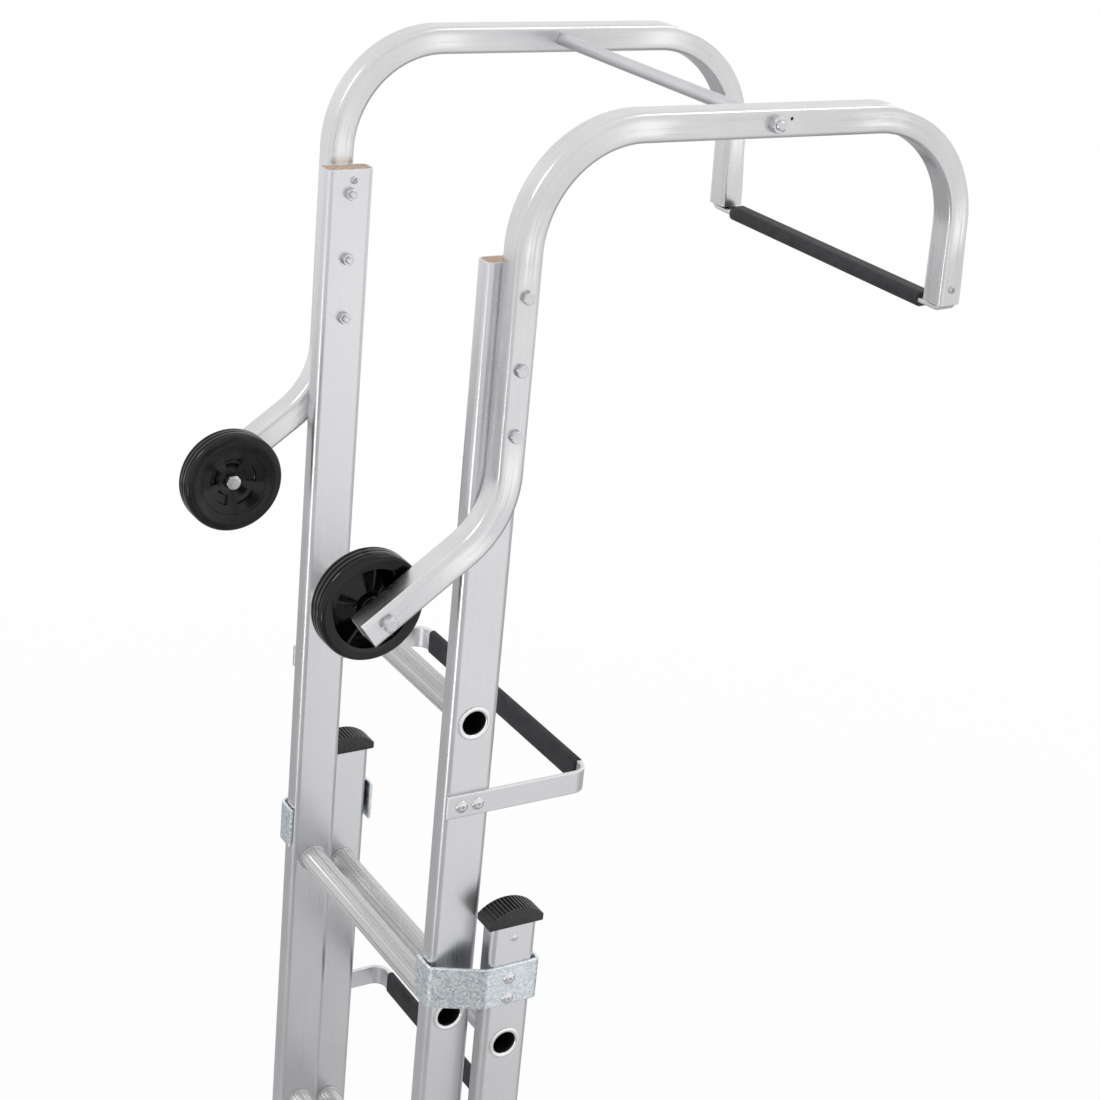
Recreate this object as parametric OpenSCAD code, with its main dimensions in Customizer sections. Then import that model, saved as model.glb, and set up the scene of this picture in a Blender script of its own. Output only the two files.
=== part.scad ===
// Two-section roof ladder: the upper section slides up the lower one, and carries two
// bent hooks that go over a roof ridge, with a wheel at the front end of each hook.
// X runs across the ladder, +Y towards the roof, +Z up. The floor is Z = 0.

/* [Rungs] */
// Distance from one rung to the next
rung_pitch = 300; // [280:5:320]
// Outer diameter of a rung
rung_d = 24; // [22:0.5:27]
// Wall of a rung
rung_wall = 1.3; // [1:0.1:1.8]
// Grooves round a rung
rung_flutes = 20; // [14:1:22]
// Radius of one groove
flute_r = 0.9; // [0.6:0.1:1.1]
// Diameter of the rolled rim on a stile's outer face
rim_d = 32; // [30:0.5:34]
// How far the rolled rim stands out
rim_h = 1.5; // [1:0.1:2]
// Diameter of the bead against a stile's inner face
bead_d = 27.6; // [27:0.2:29]
// Width of that bead
bead_w = 2; // [1.5:0.1:3]

/* [Stiles] */
// Thickness of a stile, across the ladder
stile_t = 20; // [18:0.5:24]
// Depth of a stile, front to back
stile_d = 47; // [44:0.5:54]
// Wall of a stile
stile_wall = 1.6; // [1.3:0.1:2.2]
// Outer corner radius of a stile
stile_r = 4; // [3:0.5:5]
// Clear width between the upper section's stiles
inner_w = 276; // [256:2:316]
// Sideways gap between an upper and a lower stile
side_gap = 5; // [5:0.5:8]
// Front to back overlap of an upper and a lower stile
nest = 0.5; // [0:0.1:1]

/* [Sections] */
// Height of the lower section's first rung
lower_first = 270; // [255:5:300]
// How much higher an upper rung lies than the lower one behind it
rung_step = 27; // [15:1:40]
// Lower stile above its last rung
lower_head = 126.5; // [120:0.5:160]
// Upper stile above its last rung
upper_head = 411; // [400:1:440]

/* [Hooks] */
// Outside of the square hook tube
hook_w = 25; // [22:0.5:28]
// Wall of the hook tube
hook_wall = 2; // [1.6:0.1:2.5]
// Outer corner radius of the hook tube
hook_r = 4; // [3:0.5:5]
// Height of the hook's level run above the stile ends
hook_rise = 109; // [104:1:130]
// How far the hook reaches towards the roof
hook_reach = 438; // [400:1:480]
// Depth of the far leg's end below the level run
hook_drop = 170; // [150:1:200]
// Outward lean of the far leg
leg_lean = 2.5; // [0:0.5:6]
// Centreline radius of the upper bend over the stile
top_bend_r = 97; // [85:1:102]
// Centreline radius of the bend over the ridge
leg_bend_r = 103; // [90:1:112]
// Centreline radius of the lower bend
low_bend_r = 81; // [72:1:92]
// Slope of the wheel arm below the horizontal
arm_slope = 35.5; // [30:0.5:42]
// Straight length of the wheel arm
arm_len = 105; // [98:1:125]
// Start of the lower bend below the stile end
low_bend_at = 173; // [168:1:190]
// Depths of the three hook bolts below the stile end
bolt_drop = [22, 82.6, 138.2];

/* [Wheels] */
// Diameter of a wheel
wheel_d = 95; // [86:1:102]
// Width of a wheel
wheel_w = 22; // [18:0.5:26]
// Axle from the end of the arm
axle_from_end = 20; // [18:0.5:26]
// Diameter of the axle
axle_d = 8; // [8:1:10]
// Free play between axle and wheel, on the radius
axle_play = 0.06; // [0.03:0.01:0.1]
// Length of the spacer between hook and wheel
spacer_l = 3; // [2:0.5:5]
// Grooves in the tread
tread_grooves = 3; // [2:1:4]
// Pockets in the wheel's disc
wheel_slots = 5; // [4:1:6]
// Depth of the wheel's dish at the hub
disc_dish = 9; // [6:0.5:10]

/* [Ridge fittings] */
// Distance of the tie tube from the hook's upright
tie_y = 220; // [180:1:260]
// Outer diameter of the tie tube
tie_d = 12; // [11:0.5:16]
// Diameter of the tie rod
rod_d = 8; // [6:1:8]
// Width of the ridge bar
bar_w = 17; // [14:0.5:19]
// Thickness of the ridge bar
bar_t = 4; // [3:0.5:5]
// Gap between the hook leg's end and the ridge bar
bar_gap = 2; // [1:0.5:4]
// Bend radius of the ridge bar, outside
bar_bend = 8; // [6:0.5:9]
// Height of the foam sleeve on the ridge bar
ridge_foam_h = 14; // [12:0.5:18]
// Width of the foam sleeve on the ridge bar
ridge_foam_w = 21; // [20.5:0.5:26]

/* [Roof bearers] */
// Height of a roof bearer's flat bar
bearer_h = 22; // [18:0.5:28]
// Thickness of a roof bearer's flat bar
bearer_t = 4; // [3:0.5:5]
// Outer corner radius of a roof bearer
bearer_r = 16; // [10:0.5:20]
// Upper bearer below the last upper rung
bearer_drop = 78.7; // [70:0.5:100]
// Upper bearer's outer face from the upper stiles' middle
bearer_reach = 124; // [110:1:150]
// Lower bearer below the last lower rung
low_bearer_drop = 170; // [140:1:200]
// Lower bearer's outer face from the upper stiles' middle
low_bearer_reach = 117; // [110:1:150]
// Front to back size of a bearer's foam sleeve
bearer_foam_w = 8; // [7.5:0.5:14]
// Height of a bearer's foam sleeve
bearer_foam_h = 25; // [24:0.5:32]

/* [Guide brackets] */
// Height of a guide bracket
guide_h = 42; // [36:1:48]
// Thickness of a guide bracket
guide_t = 3; // [2:0.5:3.5]
// Sliding clearance between a guide bracket and a stile
guide_gap = 0.8; // [0.5:0.1:1]
// Middle of the upper guide bracket below the lower stile's end
guide_drop = 61; // [58:0.5:66]
// Height of the bottom guide bracket's middle
low_guide_z = 160; // [130:5:190]

/* [End caps and feet] */
// Height of an end cap or foot
cap_h = 18; // [16:0.5:22]
// Radius of the cap's dome
cap_r = 40; // [38:1:60]
// Overhang of a cap past the stile, across the ladder
cap_side = 1.8; // [1:0.1:2]
// Overhang of a cap past the stile, front and back
cap_over = 4.2; // [3:0.1:5]
// Length of the plug inside the stile
plug_l = 28; // [24:1:40]
// Grooves across the cap
cap_grooves = 14; // [8:2:16]
// How much of the dome a foot's flat sole takes off
sole_cut = 8; // [4:0.5:10]

/* [Hidden] */
$fn = 64;

lower_rungs = 8;
upper_rungs = 9;
fit = 0.05;        // clearance between fixed pieces that pass through one another
past = 1;          // how far a cutting shape runs past what it cuts
seam = 0.5;        // how far the wheel arm and the far leg start inside their bends
hair = 0.04;       // how much thinner they are than their bends

// Stile faces, measured from the middle of the ladder
up_in = inner_w / 2;
up_out = up_in + stile_t;
low_in = up_out + side_gap;
low_out = low_in + stile_t;
low_y = stile_d - nest;

// Heights
upper_first = lower_first + rung_step;
low_last = lower_first + (lower_rungs - 1) * rung_pitch;
up_last = upper_first + (upper_rungs - 1) * rung_pitch;
low_top = low_last + lower_head;
up_top = up_last + upper_head;

// Hook centreline
hook_x = up_out + hook_w / 2;
run_z = up_top + hook_rise;
top_bend_z = run_z - top_bend_r;
leg_z = run_z - hook_drop;
leg_bend_z = run_z - leg_bend_r;
leg_len = (leg_bend_z + leg_bend_r * sin(leg_lean) - leg_z) / cos(leg_lean);
leg_bend_y = hook_reach - leg_len * sin(leg_lean) - leg_bend_r * cos(leg_lean);
low_bend_z = up_top - low_bend_at;
low_turn = 90 - arm_slope;
arm_y0 = -low_bend_r * (1 - cos(low_turn));
arm_z0 = low_bend_z - low_bend_r * sin(low_turn);
axle_y = arm_y0 - (arm_len - axle_from_end) * cos(arm_slope);
axle_z = arm_z0 - (arm_len - axle_from_end) * sin(arm_slope);

// Wheel
wheel_r = wheel_d / 2;
wheel_gap = 0.3;                      // side play of a wheel on its axle
wheel_x1 = up_out - spacer_l - wheel_gap;
wheel_x0 = wheel_x1 - wheel_w;
nut_x = wheel_x0 + disc_dish - wheel_gap;

// Front to back middle of the whole ladder, which is the frame's Y = 0
mid_y = (hook_reach + (hook_w - hair) / 2 * cos(leg_lean) + axle_y - wheel_r) / 2;

// Fasteners: shank diameter, width across flats, head height, nut height
m6 = [6, 10, 4, 5];
m8 = [8, 13, 5.3, 6.5];
tip = 3;                              // thread end standing past a nut
rivet_d = 4.8;
rivet_head = 12;
rivet_head_h = 2.4;
cap_rivet_head = 7;                   // the caps and feet have smaller ones
cap_rivet_head_h = 1.3;
tail_d = 7;                           // formed end of a rivet inside a tube
tail_h = 3;
screw_d = 3.5;
screw_head = 7;
screw_head_h = 1.6;
bearer_rivets = [-7.5, 8.5];          // either side of the stile's middle
guide_rivets = [7.5, -13.9];          // above and below the bracket's middle
guide_rivet_y = low_y - 3.2;
low_guide_rivets = [10, -10];
low_guide_rivet_y = -6;
cap_rivet_drop = 13.4;
cap_groove_pitch = 3.2;
packer_screw_drop = 10;
packer_screw_y = 3;
ridge_screw_up = 14.7;
mark_d = 3;                           // small hole beside the tie, in a hook's outer wall
mark_at = [15.5, 3.8];
packer_l = low_bend_at - 7;

// Colours
aluminium = [0.80, 0.81, 0.82];
zinc = [0.66, 0.69, 0.73];
bright = [0.72, 0.73, 0.74];
black = [0.10, 0.10, 0.11];
dark = [0.16, 0.16, 0.17];
foam = [0.07, 0.07, 0.07];
timber = [0.84, 0.68, 0.52];

// ---------- shared shapes ----------

// Rectangle with rounded corners, in the middle of its plane
module round_rect(a, b, r) {
  square([a - 2 * r, b], center = true);
  square([a, b - 2 * r], center = true);
  for (x = [-1, 1], y = [-1, 1])
    translate([x * (a / 2 - r), y * (b / 2 - r)]) circle(r);
}

// Turns a shape that stands on Z so that it lies along +X
module along_x() rotate([0, 90, 0]) children();

// Puts the whole ladder's middle over the frame's origin
module place() translate([0, -mid_y, 0]) children();

// One side is drawn at +X, and the other is its mirror image
module side(s) mirror([s < 0 ? 1 : 0, 0, 0]) children();

module both() {
  side(1) children();
  side(-1) children();
}

// Round bar along +X from x0 to x1
module rod_x(x0, x1, d) translate([x0, 0, 0]) along_x() cylinder(h = x1 - x0, d = d);

// Hexagon along +X from x0 to x1, by its width across flats
module hex_x(x0, x1, af) translate([x0, 0, 0]) along_x()
  cylinder(h = x1 - x0, d = af / cos(30), $fn = 6);

// Strip of a thickness from point p to point q, with round ends
module strip(p, q, t) {
  v = q - p;
  translate(p) rotate(atan2(v[1], v[0])) translate([0, -t / 2]) square([norm(v), t]);
  translate(p) circle(d = t);
  translate(q) circle(d = t);
}

module bent_strip(points, t) {
  for (i = [0 : len(points) - 2]) strip(points[i], points[i + 1], t);
}

// Blind rivet along X: the head stands outside x, the tail inside x - grip
module rivet(x, grip, tail, head = rivet_head, high = rivet_head_h) {
  translate([x, 0, 0]) along_x() cylinder(h = high / 3, d = head);
  translate([x + high / 3, 0, 0]) along_x()
    cylinder(h = high * 2 / 3, d1 = head, d2 = head * 0.6);
  rod_x(x - grip, x, rivet_d);
  if (tail) rod_x(x - grip - tail_h, x - grip, tail_d);
}

// ---------- stiles and rungs ----------

// One stile at +X: hollow, with a hole at each rung
module stile(x, y, top, first, count) {
  difference() {
    translate([x, y, cap_h]) linear_extrude(top - cap_h) difference() {
      round_rect(stile_t, stile_d, stile_r);
      round_rect(stile_t - 2 * stile_wall, stile_d - 2 * stile_wall, stile_r - stile_wall);
    }
    for (i = [0 : count - 1])
      translate([x, y, first + i * rung_pitch])
        rod_x(-stile_t / 2 - past, stile_t / 2 + past, rung_d + 2 * fit);
    // Rivets that hold the foot
    translate([0, y, cap_h + cap_rivet_drop])
      rod_x(x, x + stile_t / 2 + past, rivet_d + 2 * fit);
  }
}

// Holes for the rivets of one roof bearer, in the outer wall of a stile at +X
module bearer_holes(x, y, z) {
  for (dy = bearer_rivets)
    translate([0, y + dy, z]) rod_x(x - stile_wall - past, x + bearer_t + past, rivet_d + 2 * fit);
}

module lower_stile(s) color(aluminium) place() side(s) difference() {
  stile(low_in + stile_t / 2, low_y, low_top, lower_first, lower_rungs);
  translate([0, low_y, low_top - cap_rivet_drop])
    rod_x(low_out - stile_t / 2, low_out + past, rivet_d + 2 * fit);
  for (dz = guide_rivets)
    translate([0, guide_rivet_y, low_top - guide_drop + dz])
      rod_x(low_out - stile_wall - past, low_out + past, rivet_d + 2 * fit);
  bearer_holes(low_out, low_y, low_last - low_bearer_drop);
}

module upper_stile(s) color(aluminium) place() side(s) difference() {
  stile(up_in + stile_t / 2, 0, up_top, upper_first, upper_rungs);
  for (d = bolt_drop)
    translate([0, 0, up_top - d]) rod_x(up_in - past, up_out + past, m6[0] + 2 * fit);
  translate([0, packer_screw_y, up_top - packer_screw_drop])
    rod_x(up_in - past, up_in + stile_t / 2, screw_d + 2 * fit);
  for (dz = low_guide_rivets)
    translate([0, low_guide_rivet_y, low_guide_z + dz])
      rod_x(up_out - stile_wall - past, up_out + past, rivet_d + 2 * fit);
  bearer_holes(up_out, 0, up_last - bearer_drop);
}

// A rung is one tube: grooved between the stiles, round through them, with a bead
// against each inner face and a rolled rim on each outer face
module rung(inner, outer, y, z) {
  r = rung_d / 2;
  bore = r - rung_wall;
  grooved = inner - bead_w;
  color(aluminium) place() translate([0, y, z]) along_x() difference() {
    union() {
      translate([0, 0, -grooved]) linear_extrude(2 * grooved) difference() {
        circle(r);
        for (i = [1 : rung_flutes])
          rotate(i * 360 / rung_flutes) translate([r + flute_r * 0.35, 0]) circle(flute_r, $fn = 24);
      }
      for (s = [0, 1]) mirror([0, 0, s]) {
        translate([0, 0, grooved]) rotate_extrude() {
          square([bead_d / 2 - bead_w / 2, bead_w]);
          translate([bead_d / 2 - bead_w / 2, bead_w / 2]) circle(bead_w / 2);
        }
        translate([0, 0, inner]) cylinder(h = outer - inner, r = r);
        translate([0, 0, outer]) rotate_extrude() {
          square([rim_d / 2 - rim_h / 2, rim_h]);
          translate([rim_d / 2 - rim_h / 2, rim_h / 2]) circle(rim_h / 2);
        }
      }
    }
    translate([0, 0, -outer - rim_h - past]) cylinder(h = 2 * (outer + rim_h + past), r = bore);
    // Rolled mouth, a little wider than the bore
    for (s = [0, 1]) mirror([0, 0, s])
      translate([0, 0, outer]) cylinder(h = rim_h + 0.01, r1 = bore, r2 = bore + rung_wall / 2);
  }
}

module lower_rung(i) rung(low_in, low_out, low_y, lower_first + (i - 1) * rung_pitch);

module upper_rung(i) rung(up_in, up_out, 0, upper_first + (i - 1) * rung_pitch);

// ---------- end caps and feet ----------

// Domed moulding with grooves across it, on a plug that fits the stile. It stands on
// the stile's end at Z = 0, and its rivet hole is on the +X side. A foot's dome is cut
// off flat, and its grooves cross the flat too
module end_cap(cut) {
  dome_up = cap_r - cap_h - cut;
  step = cap_groove_pitch / cap_r * 180 / PI;
  difference() {
    union() {
      translate([-stile_t / 2 - cap_side, 0, 0]) rotate([90, 0, 90])
        linear_extrude(stile_t + 2 * cap_side) difference() {
          intersection() {
            translate([-stile_d / 2 - cap_over, 0]) square([stile_d + 2 * cap_over, cap_h]);
            translate([0, -dome_up]) circle(cap_r, $fn = 128);
          }
          for (i = [-(cap_grooves - 1) / 2 : (cap_grooves - 1) / 2])
            let (up = cap_r * cos(i * step) - dome_up)
              translate([-cap_r * sin(i * step), min(up, cap_h)])
                rotate(up > cap_h ? 0 : i * step) square([1.3, 2.6], center = true);
        }
      translate([0, 0, -plug_l]) linear_extrude(plug_l)
        round_rect(stile_t - 2 * stile_wall - 4 * fit, stile_d - 2 * stile_wall - 4 * fit,
                   stile_r - stile_wall);
    }
    translate([0, 0, -cap_rivet_drop]) rod_x(0, stile_t, rivet_d + 2 * fit);
  }
}

module top_cap(s) color(dark) place() side(s)
  translate([low_in + stile_t / 2, low_y, low_top]) end_cap(0);

module foot(s, x, y) color(dark) place() side(s)
  translate([x, y, cap_h]) mirror([0, 0, 1]) end_cap(sole_cut);

module lower_foot(s) foot(s, low_in + stile_t / 2, low_y);

module upper_foot(s) foot(s, up_in + stile_t / 2, 0);

// ---------- guide brackets ----------

// Bent plate riveted to the lower stile, with its lip in front of the upper stile
module guide_bracket(s) {
  face = low_out + guide_t / 2;
  back = low_y + stile_d / 2 + 2 + guide_t / 2;
  lip = -stile_d / 2 - guide_gap - guide_t / 2;
  z = low_top - guide_drop;
  color(zinc) place() side(s) difference() {
    translate([0, 0, z - guide_h / 2]) linear_extrude(guide_h)
      bent_strip([[low_in - 2, back], [face, back], [face, low_y - stile_d / 2 - 3],
                  [up_out + 3, lip], [up_in + 1, lip]], guide_t);
    for (dz = guide_rivets)
      translate([0, guide_rivet_y, z + dz])
        rod_x(low_out - past, low_out + guide_t + past, rivet_d + 2 * fit);
  }
}

// Bent plate riveted to the upper stile, with its lip behind the lower stile. It runs
// clear of the rolled rims
module bottom_bracket(s) {
  plate = up_out + guide_t / 2;
  face = low_out + rim_h + guide_gap + guide_t / 2;
  lip = low_y + stile_d / 2 + guide_gap + guide_t / 2;
  color(zinc) place() side(s) difference() {
    translate([0, 0, low_guide_z - guide_h / 2]) linear_extrude(guide_h)
      bent_strip([[plate, -stile_d / 2 + 5], [plate, low_y - stile_d / 2 - 15],
                  [face, low_y - stile_d / 2 - 3.5], [face, lip], [low_in + 2, lip]], guide_t);
    for (dz = low_guide_rivets)
      translate([0, low_guide_rivet_y, low_guide_z + dz])
        rod_x(up_out - past, up_out + guide_t + past, rivet_d + 2 * fit);
  }
}

// ---------- roof bearers ----------

// Flat bar bent to a U, seen from above, with its ends on the stiles' outer faces
module bearer(x, y0, reach, y, z) {
  color(aluminium) place() difference() {
    translate([0, 0, z - bearer_h / 2]) linear_extrude(bearer_h) difference() {
      bearer_outline(x + bearer_t, y0, reach, bearer_r);
      bearer_outline(x, y0 - past, reach - bearer_t, bearer_r - bearer_t);
    }
    both() bearer_holes(x, y, z);
  }
}

module bearer_outline(x, y0, y1, r) {
  translate([-x, y0]) square([2 * x, y1 - r - y0]);
  translate([-x + r, y0]) square([2 * (x - r), y1 - y0]);
  for (s = [-1, 1]) translate([s * (x - r), y1 - r]) circle(r);
}

module bearer_sleeve(half, reach, z) {
  y = reach - bearer_t / 2;
  color(foam) place() translate([-half, y, z]) along_x() linear_extrude(2 * half) difference() {
    round_rect(bearer_foam_h, bearer_foam_w, bearer_foam_w / 2 - 0.3);
    square([bearer_h + 2 * fit, bearer_t + 2 * fit], center = true);
  }
}

module upper_bearer() bearer(up_out, -stile_d / 2 + 1.5, bearer_reach, 0, up_last - bearer_drop);

module lower_bearer() bearer(low_out, low_y - stile_d / 2 + 1.5, low_bearer_reach, low_y,
                             low_last - low_bearer_drop);

module upper_bearer_sleeve() bearer_sleeve(up_out - 15, bearer_reach, up_last - bearer_drop);

module lower_bearer_sleeve() bearer_sleeve(low_out - 18, low_bearer_reach,
                                           low_last - low_bearer_drop);

// ---------- rivets ----------

module lower_rivets() color(bright) place() both() {
  for (dz = guide_rivets)
    translate([0, guide_rivet_y, low_top - guide_drop + dz])
      rivet(low_out + guide_t, guide_t + stile_wall, true);
  for (dy = bearer_rivets)
    translate([0, low_y + dy, low_last - low_bearer_drop])
      rivet(low_out + bearer_t, bearer_t + stile_wall, true);
  for (z = [cap_h + cap_rivet_drop, low_top - cap_rivet_drop])
    translate([0, low_y, z])
      rivet(low_out, stile_t / 2, false, cap_rivet_head, cap_rivet_head_h);
}

module upper_rivets() color(bright) place() both() {
  for (dz = low_guide_rivets)
    translate([0, low_guide_rivet_y, low_guide_z + dz])
      rivet(up_out + guide_t, guide_t + stile_wall, true);
  for (dy = bearer_rivets)
    translate([0, dy, up_last - bearer_drop])
      rivet(up_out + bearer_t, bearer_t + stile_wall, true);
  translate([0, 0, cap_h + cap_rivet_drop])
    rivet(up_out, stile_t / 2, false, cap_rivet_head, cap_rivet_head_h);
}

// ---------- timber packers ----------

module timber_packer(s) color(timber) place() side(s) difference() {
  translate([up_in + stile_t / 2, 0, up_top - packer_l]) linear_extrude(packer_l)
    round_rect(stile_t - 2 * stile_wall - 2 * fit, stile_d - 2 * stile_wall - 2 * fit,
               stile_r - stile_wall);
  for (d = bolt_drop)
    translate([0, 0, up_top - d]) rod_x(up_in, up_out, m6[0] + 2 * fit);
  translate([0, packer_screw_y, up_top - packer_screw_drop])
    rod_x(up_in, up_in + stile_t / 2, screw_d + 2 * fit);
}

module packer_screws() color(bright) place() both()
  translate([0, packer_screw_y, up_top - packer_screw_drop]) {
    translate([up_in - screw_head_h, 0, 0]) along_x()
      cylinder(h = screw_head_h, d1 = screw_head * 0.6, d2 = screw_head);
    rod_x(up_in, up_in + stile_t / 2 - past, screw_d);
  }

// ---------- hooks ----------

// The hook's path as a solid bar of a square section, in the plane X = hook_x
module hook_bar(w, r, over) {
  // Lower bend, and the wheel arm that leaves it
  translate([hook_x, -low_bend_r, low_bend_z]) rotate([90, 0, -90]) rotate(180) {
    rotate_extrude(angle = low_turn, $fn = 96) translate([low_bend_r, 0]) round_rect(w, w, r);
    // The arm is a hair thinner than the bend, and starts just inside its end
    rotate(low_turn) translate([low_bend_r, -seam, 0]) rotate([-90, 0, 0])
      linear_extrude(arm_len + seam + over) round_rect(w - hair, w - hair, r - hair / 2);
  }
  // Upright
  translate([hook_x, 0, low_bend_z]) linear_extrude(top_bend_z - low_bend_z) round_rect(w, w, r);
  // Upper bend over the stile
  translate([hook_x, top_bend_r, top_bend_z]) rotate([90, 0, 90]) rotate(90)
    rotate_extrude(angle = 90, $fn = 96) translate([top_bend_r, 0]) round_rect(w, w, r);
  // Level run
  translate([hook_x, top_bend_r, run_z]) rotate([-90, 0, 0])
    linear_extrude(leg_bend_y - top_bend_r) round_rect(w, w, r);
  // Bend down over the ridge, and the far leg that leaves it as the arm does
  translate([hook_x, leg_bend_y, leg_bend_z]) rotate([90, 0, -90]) rotate(90) {
    rotate_extrude(angle = 90 - leg_lean, $fn = 96) translate([leg_bend_r, 0])
      round_rect(w, w, r);
    rotate(90 - leg_lean) translate([leg_bend_r, -seam, 0]) rotate([-90, 0, 0])
      linear_extrude(leg_len + seam + over) round_rect(w - hair, w - hair, r - hair / 2);
  }
}

// The far legs' own frame: its origin is the middle of a leg's end, and Z runs up the leg
module on_leg() translate([0, hook_reach, leg_z]) rotate([leg_lean, 0, 0]) children();

module hook(s) color(aluminium) place() side(s) difference() {
  hook_bar(hook_w, hook_r, 0);
  hook_bar(hook_w - 2 * hook_wall, hook_r - hook_wall, past);
  for (d = bolt_drop)
    translate([0, 0, up_top - d])
      rod_x(up_out - past, up_out + hook_w + past, m6[0] + 2 * fit);
  translate([0, axle_y, axle_z]) rod_x(up_out - past, up_out + hook_w + past, axle_d + 2 * fit);
  translate([0, tie_y, run_z]) rod_x(up_out - past, up_out + hook_w + past, rod_d + 2 * fit);
  translate([0, tie_y + mark_at[0], run_z + mark_at[1]])
    rod_x(up_out + hook_w - hook_wall - past, up_out + hook_w + past, mark_d);
  on_leg() translate([0, 0, ridge_screw_up])
    rod_x(up_out + hook_w - hook_wall - past, up_out + hook_w + past, screw_d + 2 * fit);
}

module hook_bolts() color(bright) place() both() for (d = bolt_drop)
  translate([0, 0, up_top - d]) {
    hex_x(up_out + hook_w, up_out + hook_w + m6[2], m6[1]);
    rod_x(up_in - m6[3] - tip, up_out + hook_w, m6[0]);
  }

module hook_nuts() color(bright) place() both() for (d = bolt_drop)
  translate([0, 0, up_top - d]) difference() {
    hex_x(up_in - m6[3], up_in, m6[1]);
    rod_x(up_in - m6[3] - past, up_in + past, m6[0] + 2 * fit);
  }

// ---------- tie between the hooks ----------

module tie_tube() color(aluminium) place() translate([0, tie_y, run_z]) difference() {
  rod_x(-up_out, up_out, tie_d);
  rod_x(-up_out - past, up_out + past, rod_d + 2 * fit);
}

module tie_rod() color(bright) place() translate([0, tie_y, run_z])
  rod_x(-up_out - hook_w - m8[3] - tip, up_out + hook_w + m8[3] + tip, rod_d);

module tie_nuts() color(bright) place() both() translate([0, tie_y, run_z]) difference() {
  hex_x(up_out + hook_w, up_out + hook_w + m8[3], m8[1]);
  rod_x(up_out + hook_w - past, up_out + hook_w + m8[3] + past, rod_d + 2 * fit);
}

// ---------- ridge bar ----------

// Flat bar under the legs' open ends. Each end turns up inside a leg, along its outer wall
bar_x = up_out + hook_w - hook_wall - 2 * fit;
bar_up = ridge_screw_up + 11.3;

module ridge_bar() color(aluminium) place() on_leg() difference() {
  translate([0, bar_w / 2, 0]) rotate([90, 0, 0]) linear_extrude(bar_w)
    difference() {
      bar_outline(bar_x, -bar_gap - bar_t, bar_bend);
      bar_outline(bar_x - bar_t, -bar_gap, bar_bend - bar_t);
      translate([-bar_x, bar_up]) square([2 * bar_x, hook_drop]);
    }
  both() translate([0, 0, ridge_screw_up])
    rod_x(bar_x - bar_t - past, bar_x + past, screw_d + 2 * fit);
}

module bar_outline(x, z, r) {
  translate([-x, z + r]) square([2 * x, hook_drop / 2]);
  translate([-x + r, z]) square([2 * (x - r), hook_drop / 2]);
  for (s = [-1, 1]) translate([s * (x - r), z + r]) circle(r);
}

module ridge_sleeve() {
  half = up_out - 9;
  color(foam) place() on_leg() translate([-half, 0, -bar_gap - bar_t / 2]) along_x()
    linear_extrude(2 * half) difference() {
      round_rect(ridge_foam_h, ridge_foam_w, ridge_foam_h / 2 - 0.5);
      square([bar_t + 2 * fit, bar_w + 2 * fit], center = true);
    }
}

module ridge_screws() color(bright) place() both() on_leg()
  translate([up_out + hook_w, 0, ridge_screw_up]) {
    along_x() cylinder(h = screw_head_h, d1 = screw_head, d2 = screw_head * 0.6);
    rod_x(-hook_wall - 2 * fit - bar_t - 1.5, 0, screw_d);
  }

// ---------- wheels ----------

module axle_bolts() color(bright) place() both() translate([0, axle_y, axle_z]) {
  hex_x(up_out + hook_w, up_out + hook_w + m8[2], m8[1]);
  rod_x(nut_x - m8[3] - tip, up_out + hook_w, axle_d);
}

module axle_nuts() color(bright) place() both() translate([0, axle_y, axle_z]) difference() {
  hex_x(nut_x - m8[3], nut_x, m8[1]);
  rod_x(nut_x - m8[3] - past, nut_x + past, axle_d + 2 * fit);
}

module axle_spacers() color(black) place() both() translate([0, axle_y, axle_z]) difference() {
  rod_x(wheel_x1 + wheel_gap, up_out, axle_d + 8);
  rod_x(wheel_x1, up_out + past, axle_d + 2 * fit);
}

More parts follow.
